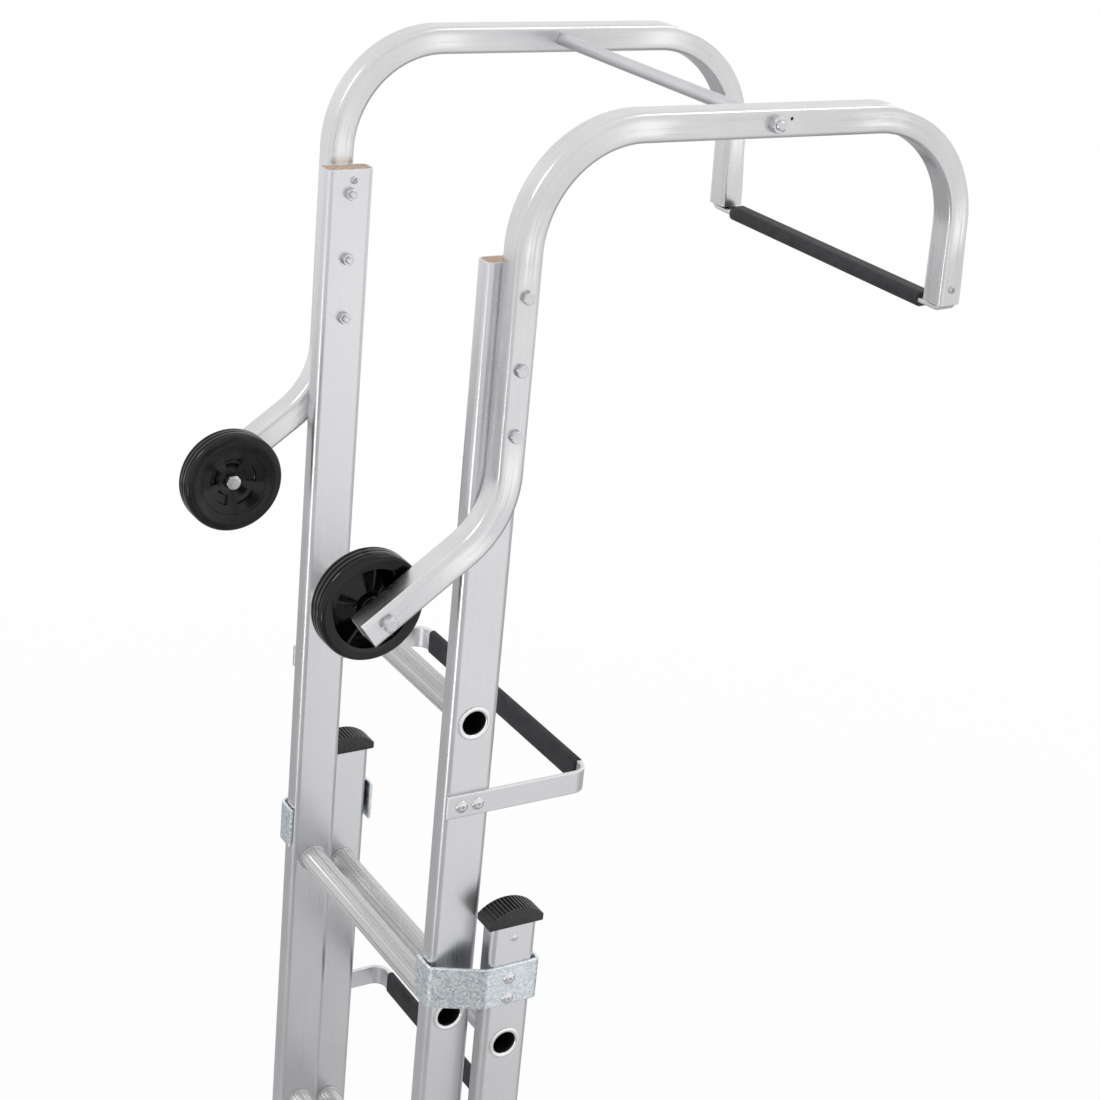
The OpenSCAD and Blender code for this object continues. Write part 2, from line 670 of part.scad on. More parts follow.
// Moulded wheel about Z: its dished side at Z = 0, its ribbed side at Z = wheel_w. The
// disc slopes from the dish's edge in to the hub, with pockets sunk into it
module wheel_body() {
  shoulder = 4;
  disc_t = 4;
  lip = 1.5;
  pocket = 2.8;
  rib_t = 2.5;
  hub_r = axle_d / 2 + 7;
  groove = 1.6;
  pitch = wheel_w / (tread_grooves + 1);
  rim_in = wheel_r - 12.5;
  dish_r = wheel_r - 16.5;
  fall = (disc_dish - lip) / (dish_r - hub_r);
  pocket_r0 = hub_r + 3;
  pocket_r1 = hub_r + 12;
  difference() {
    union() {
      rotate_extrude($fn = 128) {
        // Rim with rounded shoulders
        difference() {
          union() {
            translate([rim_in, 0]) square([wheel_r - shoulder - rim_in, wheel_w]);
            translate([rim_in, shoulder]) square([wheel_r - rim_in, wheel_w - 2 * shoulder]);
            for (z = [shoulder, wheel_w - shoulder])
              translate([wheel_r - shoulder, z]) circle(shoulder);
          }
          for (i = [1 : tread_grooves])
            translate([wheel_r, i * pitch]) square([2 * groove, groove], center = true);
        }
        // Lip of the dish, sloping disc and hub
        polygon([[hub_r, disc_dish], [dish_r, lip], [dish_r, 0], [rim_in + 1, 0],
                 [rim_in + 1, lip + disc_t], [dish_r, lip + disc_t], [hub_r, disc_dish + disc_t]]);
        translate([0, disc_dish]) square([hub_r, wheel_w - disc_dish]);
      }
      // Ribs on the open side
      for (i = [1 : wheel_slots])
        rotate((i + 0.5) * 360 / wheel_slots) translate([0, rib_t / 2, 0]) rotate([90, 0, 0])
          linear_extrude(rib_t)
            polygon([[hub_r - 1, disc_dish + disc_t - 0.5], [dish_r, lip + disc_t - 0.5],
                     [rim_in + 1, lip + disc_t - 0.5], [rim_in + 1, wheel_w - 1.5],
                     [hub_r - 1, wheel_w - 1.5]]);
    }
    translate([0, 0, disc_dish - past])
      cylinder(h = wheel_w - disc_dish + 2 * past, r = axle_d / 2 + axle_play);
    // Curved pockets in the disc, between the ribs
    for (i = [1 : wheel_slots])
      rotate(i * 360 / wheel_slots - 115 / wheel_slots)
        rotate_extrude(angle = 230 / wheel_slots, $fn = 96)
          polygon([[pocket_r0, 0], [pocket_r1, 0],
                   [pocket_r1, disc_dish - (pocket_r1 - hub_r) * fall + pocket],
                   [pocket_r0, disc_dish - (pocket_r0 - hub_r) * fall + pocket]]);
  }
}

// The wheels spin freely, and the photograph shows them half a rib apart
module wheel(s) color(black) place() side(s)
  translate([wheel_x0, axle_y, axle_z]) along_x()
    rotate(s < 0 ? 180 / wheel_slots : 0) wheel_body();

lower_stile(-1);  // lower_stile_left
lower_stile(1);  // lower_stile_right
lower_rung(1);  // lower_rung_1
lower_rung(2);  // lower_rung_2
lower_rung(3);  // lower_rung_3
lower_rung(4);  // lower_rung_4
lower_rung(5);  // lower_rung_5
lower_rung(6);  // lower_rung_6
lower_rung(7);  // lower_rung_7
lower_rung(8);  // lower_rung_8
lower_foot(-1);  // lower_foot_left
lower_foot(1);  // lower_foot_right
top_cap(-1);  // top_cap_left
top_cap(1);  // top_cap_right
guide_bracket(-1);  // guide_bracket_left
guide_bracket(1);  // guide_bracket_right
lower_bearer();
lower_bearer_sleeve();
lower_rivets();
upper_stile(-1);  // upper_stile_left
upper_stile(1);  // upper_stile_right
upper_rung(1);  // upper_rung_1
upper_rung(2);  // upper_rung_2
upper_rung(3);  // upper_rung_3
upper_rung(4);  // upper_rung_4
upper_rung(5);  // upper_rung_5
upper_rung(6);  // upper_rung_6
upper_rung(7);  // upper_rung_7
upper_rung(8);  // upper_rung_8
upper_rung(9);  // upper_rung_9
upper_foot(-1);  // upper_foot_left
upper_foot(1);  // upper_foot_right
timber_packer(-1);  // timber_packer_left
timber_packer(1);  // timber_packer_right
packer_screws();
hook(-1);  // hook_left
hook(1);  // hook_right
hook_bolts();
hook_nuts();
tie_tube();
tie_rod();
tie_nuts();
ridge_bar();
ridge_sleeve();
ridge_screws();
upper_bearer();
upper_bearer_sleeve();
bottom_bracket(-1);  // bottom_bracket_left
bottom_bracket(1);  // bottom_bracket_right
upper_rivets();
axle_bolts();
axle_nuts();
axle_spacers();
wheel(-1);  // wheel_left
wheel(1);  // wheel_right
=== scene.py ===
import bmesh
import bpy
import math
import numpy as np
from mathutils import Matrix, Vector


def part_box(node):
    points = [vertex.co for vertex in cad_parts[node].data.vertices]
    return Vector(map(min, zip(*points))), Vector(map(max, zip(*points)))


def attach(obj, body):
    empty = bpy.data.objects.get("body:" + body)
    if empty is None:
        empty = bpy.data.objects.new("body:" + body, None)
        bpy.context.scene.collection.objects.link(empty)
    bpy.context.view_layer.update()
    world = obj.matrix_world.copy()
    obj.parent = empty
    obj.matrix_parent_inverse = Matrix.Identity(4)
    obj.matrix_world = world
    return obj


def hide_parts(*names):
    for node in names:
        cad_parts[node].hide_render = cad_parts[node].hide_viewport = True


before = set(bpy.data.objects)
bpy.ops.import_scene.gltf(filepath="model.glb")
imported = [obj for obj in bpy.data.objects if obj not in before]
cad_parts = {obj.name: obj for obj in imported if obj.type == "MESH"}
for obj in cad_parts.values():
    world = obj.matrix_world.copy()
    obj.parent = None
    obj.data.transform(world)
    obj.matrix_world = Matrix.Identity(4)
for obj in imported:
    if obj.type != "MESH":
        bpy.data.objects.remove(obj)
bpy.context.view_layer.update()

# ---- Camera ----
# A 73 mm view from beside and above the hooks, leaning a little, as the photograph was
# taken. It is placed from the middle of the last upper rung.


def middle(node):
    """The middle of a CAD node's box."""
    lo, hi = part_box(node)
    return (np.array(lo) + np.array(hi)) / 2


def put(name, data):
    """A new object in the scene, at the origin."""
    o = bpy.data.objects.new(name, data)
    bpy.context.scene.collection.objects.link(o)
    return o


def point(o, x, y, z, where):
    """Turns and places a camera or a lamp by its own three axes and its place."""
    m = np.eye(4)
    m[:3, 0], m[:3, 1], m[:3, 2], m[:3, 3] = x, y, z, where
    o.matrix_world = Matrix(m.tolist())


top_rung = middle("upper_rung_9")
viewpoint = top_rung + [1.6301, -0.8795, 0.8913]
turn, tilt, lean = np.radians([57.55, 22.69, -5.60])
ahead = np.array([-np.sin(turn) * np.cos(tilt), np.cos(turn) * np.cos(tilt), -np.sin(tilt)])
level = np.array([np.cos(turn), np.sin(turn), 0.0])
below = np.cross(ahead, level)
camera = bpy.data.cameras.new("camera")
camera.sensor_width = 36
camera.lens = 73.17
camera.shift_x = 0.0022
camera.shift_y = -0.0069
camera.clip_end = 100
camera_object = put("camera", camera)
point(camera_object, np.cos(lean) * level + np.sin(lean) * below,
      np.sin(lean) * level - np.cos(lean) * below, -ahead, viewpoint)
bpy.context.scene.camera = camera_object
bpy.context.scene.view_settings.view_transform = "Standard"

# ---- Studio ----
# A white room: a pale floor, 16 m across, that keeps a soft shadow, an even white sky, and
# five soft lamps. The lamps give the metal its bright edges and the plastic its glints.


def feed(tree, node, inputs):
    """Gives each named or numbered socket of a node its value, or the output it reads."""
    for socket, value in inputs.items():
        if isinstance(value, bpy.types.NodeSocket):
            tree.links.new(value, node.inputs[socket])
        else:
            node.inputs[socket].default_value = value


def add(tree, kind, inputs, **settings):
    """A new shader node of a kind, with its settings made and its sockets fed."""
    node = tree.nodes.new("ShaderNode" + kind)
    for name, value in settings.items():
        setattr(node, name, value)
    feed(tree, node, inputs)
    return node


def mix(tree, share, a, b, kind="FLOAT"):
    """Two values, or two colours for kind RGBA, mixed by the share of the second."""
    return add(tree, "Mix", {"Factor": share, "A": a, "B": b}, data_type=kind).outputs["Result"]


def math_node(tree, operation, *values):
    """What one step of arithmetic makes of some values."""
    return add(tree, "Math", dict(enumerate(values)), operation=operation).outputs[0]


def span(tree, value, low, high, to_low=0.0, to_high=1.0):
    """A value's range from low to high, moved to another range and held inside it."""
    return add(tree, "MapRange", {"Value": value, "From Min": low, "From Max": high,
                                  "To Min": to_low, "To Max": to_high}).outputs["Result"]


world = bpy.data.worlds.new("studio")
bpy.context.scene.world = world
world.use_nodes = True
tree = world.node_tree
ray = add(tree, "LightPath", {}).outputs
seen = math_node(tree, "MAXIMUM", ray["Is Camera Ray"], ray["Is Transmission Ray"])
seen = math_node(tree, "MAXIMUM", seen, ray["Is Glossy Ray"])
sky = mix(tree, seen, (0.52, 0.52, 0.53, 1), (1, 1, 1, 1), "RGBA")
feed(tree, tree.nodes["Background"], {"Color": sky})


def soft_lamp(name, where, towards, size, power):
    """A square area lamp at a point, turned to face another point."""
    lamp = bpy.data.lights.new(name, "AREA")
    lamp.shape = "SQUARE"
    lamp.size = size
    lamp.energy = power
    z = np.array(where, float) - np.array(towards, float)
    z /= np.linalg.norm(z)
    x = np.cross([0, 0, 1], z)
    x /= np.linalg.norm(x)
    point(put(name, lamp), x, np.cross(z, x), z, where)


aim = top_rung + [0, 0.05, 0.1]
soft_lamp("key", aim + [-1.0, -2.4, 2.1], aim, 0.9, 16)
soft_lamp("top right", aim + [1.3, 1.7, 2.3], aim, 1.0, 6)
soft_lamp("back", aim + [-1.0, 2.8, 1.6], aim, 1.6, 8)
soft_lamp("low right", aim + [2.4, 1.5, -1.4], aim + [0, 0, -0.3], 1.8, 5)
soft_lamp("low front", aim + [1.5, -2.4, -1.2], aim, 0.5, 7)

floor_mesh = bpy.data.meshes.new("floor")
floor_mesh.from_pydata([(-8, -8, 0), (8, -8, 0), (8, 8, 0), (-8, 8, 0)], [], [(0, 1, 2, 3)])
floor = put("floor", floor_mesh)
floor_paint = bpy.data.materials.new("white floor")
floor_paint.use_nodes = True
tree = floor_paint.node_tree
tree.nodes.clear()
spot = add(tree, "TexCoord", {}).outputs["Object"]
far = add(tree, "VectorMath", {0: spot}, operation="LENGTH").outputs["Value"]
fade = span(tree, far, 3.0, 7.8, 0.96, 1.0)
share = math_node(tree, "MULTIPLY", add(tree, "LightPath", {}).outputs["Is Camera Ray"], fade)
matt = add(tree, "BsdfDiffuse", {"Color": (0.86, 0.86, 0.86, 1)}).outputs[0]
glow = add(tree, "Emission", {"Color": (1, 1, 1, 1), "Strength": 1.0}).outputs[0]
both = add(tree, "MixShader", {0: share, 1: matt, 2: glow}).outputs[0]
add(tree, "OutputMaterial", {"Surface": both})
floor_mesh.materials.append(floor_paint)

# ---- Stiles ----
# Four hollow rounded bars of extruded aluminium, mill finish, with the fine streaks of
# the die along them. The upper pair is open on top, over its timber packers.


def new_finish(name, even):
    """A new material, its node tree, its shader with the values that are even all over
    it, and the object's own coordinates."""
    m = bpy.data.materials.new(name)
    m.use_nodes = True
    shader = m.node_tree.nodes["Principled BSDF"]
    feed(m.node_tree, shader, even)
    return m, m.node_tree, shader, add(m.node_tree, "TexCoord", {}).outputs["Object"]


def noise(tree, at, scale, detail, roughness=0.5):
    """The value of soft noise at a place."""
    return add(tree, "TexNoise", {"Vector": at, "Scale": scale, "Detail": detail,
                                  "Roughness": roughness}).outputs["Fac"]


def ramp(tree, value, low, dark, high, light):
    """A colour that goes from dark, where a value is low, to light, where it is high."""
    node = add(tree, "ValToRGB", {"Fac": value})
    for stop, place, colour in zip(node.color_ramp.elements, (low, high), (dark, light)):
        stop.position = place
        stop.color = (*colour, 1)
    return node.outputs["Color"]


def relief(tree, height, strength, depth):
    """The normal of a surface that a height from 0 to 1 raises by a depth in metres."""
    return add(tree, "Bump", {"Height": height, "Strength": strength,
                              "Distance": depth}).outputs["Normal"]


def metal(name, colour, rough, streaks, grain, bump, rubbed=0.0):
    """A metal whose colour and roughness follow noise in the piece's own UV map, where
    U runs across the piece and V along it, both in metres. streaks are the noise's
    scales across and along, grain how far the colour swings, and rubbed how much lighter
    and duller it is where the piece's rubbed attribute is 1."""
    m, tree, shader, at = new_finish(name, {"Metallic": 1.0})
    uv = add(tree, "UVMap", {}).outputs[0]
    stretched = add(tree, "Mapping", {"Vector": uv, "Scale": (*streaks, 1)}).outputs[0]
    fine = noise(tree, stretched, 1.0, 5.0, 0.65)
    mixed = mix(tree, 0.5, fine, noise(tree, at, 16.0, 6.0))
    dark = [c * (1 - grain) for c in colour]
    light = [min(c * (1 + grain), 1) for c in colour]
    tone = ramp(tree, mixed, 0.3, dark, 0.7, light)
    gloss = span(tree, mixed, 0.3, 0.7, rough - 0.06, rough + 0.08)
    if rubbed:
        worn = add(tree, "Attribute", {}, attribute_name="rubbed").outputs["Fac"]
        patch = math_node(tree, "MULTIPLY", worn, span(tree, mixed, 0.40, 0.50))
        pale = [min(c * (1 + rubbed), 0.97) for c in colour]
        tone = mix(tree, patch, tone, (*pale, 1), "RGBA")
        gloss = math_node(tree, "MULTIPLY_ADD", patch, 0.22, gloss)
    feed(tree, shader, {"Base Color": tone, "Roughness": gloss,
                        "Normal": relief(tree, fine, bump, 0.0002)})
    return m


def lattice(points, u, v, close_rows=False):
    """The faces of a grid of points, rows by columns, four corners a face. The columns
    always close on themselves, and the rows may. u and v have one column more than the
    points, and one row more where the rows close. Returns vertices, faces and loop UVs."""
    rows, cols = points.shape[:2]
    last = rows if close_rows else rows - 1
    i, j = np.meshgrid(np.arange(last), np.arange(cols), indexing="ij")
    i2, j2 = (i + 1) % rows, (j + 1) % cols
    faces = np.stack([i * cols + j, i * cols + j2, i2 * cols + j2, i2 * cols + j], -1)
    wide = np.stack(np.broadcast_arrays(u, v), -1)
    corner = np.stack([wide[i, j], wide[i, j + 1], wide[i + 1, j + 1], wide[i + 1, j]], -2)
    return points.reshape(-1, 3), faces.reshape(-1, 4), corner.reshape(-1, 2)


def piece(name, parts, material, body, slot, *nodes, sharp=32):
    """One mesh from several parts: vertices, faces and loop UVs, and if they are given
    the number of each face's material and each vertex's rubbed value. Points that meet
    are joined, and it is smooth but for edges sharper than an angle. It rides on a body
    and stands for CAD nodes."""
    verts, faces, uvs, paint, worn, base = [], [], [], [], [], 0
    for part in parts:
        v, f, t = part[:3]
        verts.append(v)
        faces.append(f + base)
        uvs.append(t)
        paint.append(np.zeros(len(f), int) + (part[3] if len(part) > 3 else 0))
        worn.append(np.zeros(len(v)) + (part[4] if len(part) > 4 else 0))
        base += len(v)
    verts, faces, uvs = np.concatenate(verts), np.concatenate(faces), np.concatenate(uvs)
    mesh = bpy.data.meshes.new(name)
    mesh.vertices.add(len(verts))
    mesh.vertices.foreach_set("co", verts.astype(np.float32).ravel())
    mesh.loops.add(faces.size)
    mesh.loops.foreach_set("vertex_index", faces.astype(np.int32).ravel())
    mesh.polygons.add(len(faces))
    mesh.polygons.foreach_set("loop_start", np.arange(0, faces.size, 4, dtype=np.int32))
    for m in material if isinstance(material, list) else [material]:
        mesh.materials.append(m)
    mesh.polygons.foreach_set("material_index", np.concatenate(paint).astype(np.int32))
    mesh.uv_layers.new(name="grain").data.foreach_set("uv", uvs.astype(np.float32).ravel())
    worn = np.concatenate(worn)
    if worn.any():
        rubbed = mesh.attributes.new("rubbed", "FLOAT", "POINT")
        rubbed.data.foreach_set("value", worn.astype(np.float32))
    mesh.update(calc_edges=True)
    bm = bmesh.new()
    bm.from_mesh(mesh)
    bmesh.ops.remove_doubles(bm, verts=bm.verts, dist=2e-7)
    bm.to_mesh(mesh)
    bm.free()
    mesh.polygons.foreach_set("use_smooth", np.ones(len(mesh.polygons), bool))
    mesh.set_sharp_from_angle(angle=math.radians(sharp))
    o = put(name, mesh)
    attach(o, body)
    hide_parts(*nodes)


def rounded_section(a, b, r, steps=6):
    """Points and outward normals round a rectangle of sides a and b with corner radius
    r: a quarter circle in each corner, with one more point on the flat 0.4 mm before and
    after it, which keeps the flats flat when shaded."""
    edge = 0.0004
    t = np.linspace(0, np.pi / 2, steps)
    t = t + np.array([0, 1, 2, 3])[:, None] * np.pi / 2
    n = np.stack([np.cos(t), np.sin(t)], -1)
    centre = np.array([[1, 1], [-1, 1], [-1, -1], [1, -1]]) * [a / 2 - r, b / 2 - r]
    p = centre[:, None] + r * n
    before, after = n[:, :1], n[:, -1:]
    side = np.stack([before[..., 1], -before[..., 0]], -1) * edge
    side2 = np.stack([-after[..., 1], after[..., 0]], -1) * edge
    p = np.concatenate([p[:, :1] + side, p, p[:, -1:] + side2], 1)
    n = np.concatenate([before, n, after], 1)
    return p.reshape(-1, 2), n.reshape(-1, 2)


def carry(path, up, section, rings, hollow=False, press=None):
    """A section carried along a path. At each point its first axis is up x travel and
    its second is up. Each ring is (point of the path, scale of the section, how far
    outside it, how far on along the travel), so walls, end faces and broken edges are
    all rings; a hollow piece's last ring joins its first. press pushes the wall on the
    first axis's side in, by its share of the half width squared."""
    p, n = section
    path = np.asarray(path, float)
    step = np.diff(path, axis=0)
    length = np.linalg.norm(step, axis=1)
    t = step / length[:, None]
    t = np.concatenate([t[:1], t[:-1] + t[1:], t[-1:]])
    t /= np.linalg.norm(t, axis=1)[:, None]
    a = np.cross(up, t)
    walked = np.concatenate([[0], np.cumsum(length)])
    i, scale, off, on = (np.array(c, float) for c in zip(*rings))
    i = i.astype(int)
    q = p * scale[:, None, None] + n * off[:, None, None]
    across = q[..., 0]
    if press is not None:
        across = across - press[i][:, None] * np.clip(across / p[:, 0].max(), 0, 1) ** 2
    pts = (path[i][:, None] + a[i][:, None] * across[..., None]
           + np.array(up, float) * q[..., 1:] + (t[i] * on[:, None])[:, None])
    loop = np.concatenate([p, p[:1]])
    u = np.concatenate([[0], np.cumsum(np.linalg.norm(np.diff(loop, axis=0), axis=1))])
    v = walked[i] + on + (1 - scale) * 0.01
    if hollow:
        v = np.append(v, v[-1] + 0.001)
    return lattice(pts, u[None], v[:, None], hollow)


def solid_rings(count, e):
    """Rings for a solid bar along count points: a closed end, an edge broken by e, the
    length, and the same again."""
    last = count - 1
    return [(0, 0, 0, 0), (0, 1, -e, 0), (0, 1, 0, e), *[(i, 1, 0, 0) for i in range(1, last)],
            (last, 1, 0, -e), (last, 1, -e, 0), (last, 0, 0, 0)]


def tube_rings(count, wall, e):
    """Rings for an open tube along count points: the outside, an end face, the inside on
    the way back, and the other end face."""
    last = count - 1
    way = list(range(1, last))
    return [(0, 1, -e, 0), (0, 1, 0, e), *[(i, 1, 0, 0) for i in way],
            (last, 1, 0, -e), (last, 1, -e, 0), (last, 1, -wall + e, 0), (last, 1, -wall, -e),
            *[(i, 1, -wall, 0) for i in reversed(way)], (0, 1, -wall, e), (0, 1, -wall + e, 0)]


sections = (("lower", 8), ("upper", 9))  # and their rungs
stile_thick, stile_deep, stile_wall = 0.020, 0.047, 0.0016
hole_r = 0.01205
patch = 0.0145  # half the side of the square of wall round each rung


def rung_hole(centre, side):
    """The wall round a hole: from a square outline on the outer face in to a circle,
    through the wall, and out again to the square on the inner face."""
    a = np.linspace(0, 2 * np.pi, 64, endpoint=False) + np.pi / 4
    square = patch / np.maximum(abs(np.cos(a)), abs(np.sin(a)))
    hole = hole_r + 0 * a
    out = np.array([0, 0, -stile_wall, -stile_wall])[:, None] + 0 * a
    away = np.stack([square, hole, hole, square])
    pts = np.stack([side * out, away * np.cos(a), side * away * np.sin(a)], -1)
    u = np.append(a, a[0] + 2 * np.pi)[None] * 0.012
    return lattice(pts + np.array(centre), u, np.array([[0], [0.003], [0.0046], [0.0076]]))


bar = metal("extruded aluminium", (0.70, 0.70, 0.715), 0.30, (500, 2), 0.06, 0.12)
p, n = rounded_section(stile_thick, stile_deep, 0.006)
# Two more points across each wide face, where the patches begin and end
face = stile_thick / 2
p = np.concatenate([p[:16], [[-face, patch], [-face, -patch]],
                    p[16:], [[face, -patch], [face, patch]]])
n = np.concatenate([n[:16], [[-1, 0], [-1, 0]], n[16:], [[1, 0], [1, 0]]])
wide_faces = [16, len(p) - 2]
for section, count in sections:
    for hand in ("left", "right"):
        node = section + "_stile_" + hand
        (x, y, z), low, high = middle(node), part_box(node)[0][2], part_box(node)[1][2]
        rungs = [middle("%s_rung_%d" % (section, k + 1))[2] for k in range(count)]
        heights = np.array([low, *[h + d for h in rungs for d in (-patch, patch)], high])
        way = np.stack([0 * heights + x, 0 * heights + y, heights], -1)
        rings = tube_rings(len(way), stile_wall, 0.0003)
        v, f, t = carry(way, (0, 1, 0), (p, n), rings, hollow=True)
        # The wall's own faces are left out where a patch takes their place
        at = heights[[r[0] for r in rings]] / 2
        at = at + np.roll(at, -1)
        at_rung = abs(at[:, None] - rungs).min(1) < 0.001
        keep = np.ones((len(rings), len(p)), bool)
        keep[np.ix_(at_rung, wide_faces)] = False
        keep = keep.ravel()
        parts = [(v, f[keep], t.reshape(-1, 4, 2)[keep].reshape(-1, 2))]
        parts += [rung_hole((x + side * face, y, h), side) for h in rungs for side in (-1, 1)]
        piece(node + "_tube", parts, bar, section + "_section", "aluminium", node)

# ---- Rungs ----
# Seventeen round aluminium tubes with twenty shallow grooves. Each goes through both
# stiles, with a bead pressed up inside them and its ends rolled over outside.


def spun(x, r, centre, side=1, cols=72, close_rows=False, turns=None):
    """A surface round a line along X: at angle a each ring's point lies x along and r
    out, at centre + (x, r cos a, r sin a). x and r hold a value for each ring, or one for
    each ring and column, and turns the columns' angles. side -1 turns it to face -X."""
    a = np.linspace(0, 2 * np.pi, cols, endpoint=False) if turns is None else turns
    x, r = np.array(x, float), np.array(r, float)
    x = x[:, None] + 0 * a if x.ndim == 1 else x
    r = r[:, None] + 0 * a if r.ndim == 1 else r
    pts = np.stack([side * x, r * np.cos(a), side * r * np.sin(a)], -1) + np.array(centre)
    u = np.append(a, a[0] + 2 * np.pi)[None] * r.max()
    walk = np.hypot(np.diff(x[:, 0]), np.diff(r[:, 0]))
    v = np.concatenate([[0], np.cumsum(walk)])
    if close_rows:
        v = np.append(v, v[-1] + 0.001)
    return lattice(pts, u, v[:, None], close_rows)


tread = metal("rung aluminium", (0.58, 0.575, 0.58), 0.40, (600, 3), 0.08, 0.12)
# The bore is the same aluminium, painted dark grey: painted shade where little light reaches
# inside the tube
painted_shade_inside = metal("painted shade inside a rung", (0.14, 0.14, 0.15), 0.35, (300, 20), 0.4, 0.3)
rolled = metal("rolled rim of a rung", (0.84, 0.84, 0.845), 0.22, (900, 500), 0.08, 0.5)
rung_r, groove_centre, groove_r = 0.012, 0.012315, 0.0009
rim = 0.0015   # how far the rolled rim stands off the stile
bore = 0.0116  # the tube's inside lies within this radius
# Each groove is a round one, cut to where its circle meets the tube's, and the points
# after it are on the land between it and the next
groove = np.radians([-3.98, -3.3, -2.0, -0.7, 0.7, 2.0, 3.3, 3.98, 5.2, 9.0, 12.8])
cut = np.where(abs(np.degrees(groove)) < 4, rung_r - groove_centre * np.cos(groove) + np.sqrt(
    np.maximum(groove_r ** 2 - (groove_centre * np.sin(groove)) ** 2, 0)), 0)
turns = (np.arange(20)[:, None] * np.pi / 10 + groove).ravel()
depth = np.tile(np.maximum(cut, 0), 20)
# The profile of one end in mm: along from the stile's face, out from the middle, and how
# much of the grooves' depth it keeps. It goes over the bead, through the wall, over the
# rolled rim and back into the bore.
half = np.array([
    (-22.3, 12.0, 1), (-22.05, 12.15, 0.9), (-22.0, 12.8, 0.7), (-21.7, 13.5, 0.55),
    (-21.0, 13.8, 0.5), (-20.3, 13.5, 0.4), (-20.0, 12.8, 0.2), (-20.0, 12.0, 0),
    (0.0, 12.0, 0), (0.02, 15.3, 0.3), (0.3, 15.85, 0.5), (0.75, 16.0, 0.5),
    (1.15, 15.75, 0.35), (1.42, 15.0, 0.1), (1.5, 13.8, 0), (1.42, 12.7, 0),
    (1.1, 11.9, 0), (0.4, 11.3, 0), (-1.0, 10.85, 0), (-4.0, 10.7, 0)])
both = np.concatenate([half[::-1], half])
r = both[:, 1:2] * 0.001 - both[:, 2:] * depth
narrow = r[:, 0] < bore
inside = narrow & np.roll(narrow, -1)
for section, count in sections:
    for number in range(1, count + 1):
        node = section + "_rung_%d" % number
        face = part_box(node)[1][0] - rim
        end = half[:, 0] * 0.001 + face
        x = np.concatenate([-end[::-1], end])
        tube = spun(x, r, (0, *middle(node)[1:]), turns=turns, close_rows=True)
        outside = abs(x + np.roll(x, -1)) / 2 > face
        # Faces in the bore take the painted shade, faces past the stiles the rolled rim's metal
        paint = np.where(outside, 2, inside.astype(int))
        piece(node + "_tube", [(*tube, np.repeat(paint, len(turns)))],
              [tread, painted_shade_inside, rolled], section + "_section", "rung_aluminium", node)

# ---- Caps and feet ----
# Black moulded ends of a hard rubbery plastic, one shape on top of the lower stiles and
# under all four: a low dome with fourteen grooves across it and a plain face outside.
# A foot's dome is cut off flat to stand on.
rubbery, tree, shader, at = new_finish("black moulding", {"Roughness": 0.34,
                                                          "Specular IOR Level": 0.55})
dust = noise(tree, at, 260.0, 6.0)
feed(tree, shader, {
    "Base Color": ramp(tree, dust, 0.35, (0.005, 0.005, 0.006), 0.75, (0.030, 0.030, 0.032)),
    "Normal": relief(tree, dust, 0.35, 0.0003)})

dome_r, dome_high, half_long = 0.040, 0.018, 0.0277
sole_cut = 0.008  # how much of its dome a foot has lost


def domed_end(centre, up, cut_off):
    """A cap over a flat base: at each place along X the outline is the base, two short
    upright ends and a circle's arc of 40 mm, cut off flat where it would be over 18 mm
    high, and each of fourteen grooves takes 2 mm off it. Near the two sides the
    grooves run out and the edge is rounded off."""
    grooves, pitch, deep = 14, 0.0925, 0.0020
    lobe = np.radians([-1.35, -1.0, 1.0, 1.35])
    arc = ((np.arange(grooves) - (grooves - 1) / 2)[:, None] * pitch + lobe).ravel()
    sunk = np.tile([0, deep, deep, 0], grooves)
    wide = np.arcsin(half_long / dome_r)
    arc = np.concatenate([[-wide], arc, [wide]])
    sunk = np.concatenate([[0], sunk, [0]])
    y = dome_r * np.sin(arc)
    z = dome_r * np.cos(arc) - (dome_r - dome_high) + cut_off
    n = np.stack([np.sin(arc), np.cos(arc)], -1)
    n[z > dome_high] = (0, 1)
    z = np.minimum(z, dome_high)
    n[0], n[-1] = (-0.8, 0.5), (0.8, 0.5)
    # The base, whose two long edges are broken by 0.8 mm
    y = np.concatenate([y, [half_long, 0.0269, -0.0269, -half_long]])[::-1]
    z = np.concatenate([z, [0.0008, 0, 0, 0.0008]])[::-1]
    n = np.concatenate([n, [(0.9, -0.4), (0.4, -0.9), (-0.4, -0.9), (-0.9, -0.4)]])[::-1]
    sunk = np.concatenate([sunk, np.zeros(4)])[::-1]
    # From one side to the other: where each outline is, how far it draws in, how deep the
    # grooves are, and whether it is an outline or a side's closing point
    x = np.array([11.8, 11.8, 11.7, 11.4, 11.1, 10.7]) * 0.001
    inset = np.array([0, 0.7, 0.2, 0, 0, 0]) * 0.001
    cut = np.array([0, 0, 0, 0, 0.3, 1])
    fill = np.array([0, 1, 1, 1, 1, 1])
    x = np.concatenate([-x, x[::-1]])
    inset, cut, fill = (np.concatenate([c, c[::-1]]) for c in (inset, cut, fill))
    away = n * (inset[:, None] + cut[:, None] * sunk)[..., None]
    closing = 0.008  # the height of a side's closing point
    py = (y - away[..., 0]) * fill[:, None]
    pz = (z - away[..., 1] - closing) * fill[:, None] + closing
    pts = np.stack([x[:, None] + 0 * py, up * py, up * pz], -1) + np.array(centre)
    u = np.concatenate([[0], np.cumsum(np.hypot(np.diff(y), np.diff(z))), [0.17]])
    return lattice(pts, u[None], x[:, None])


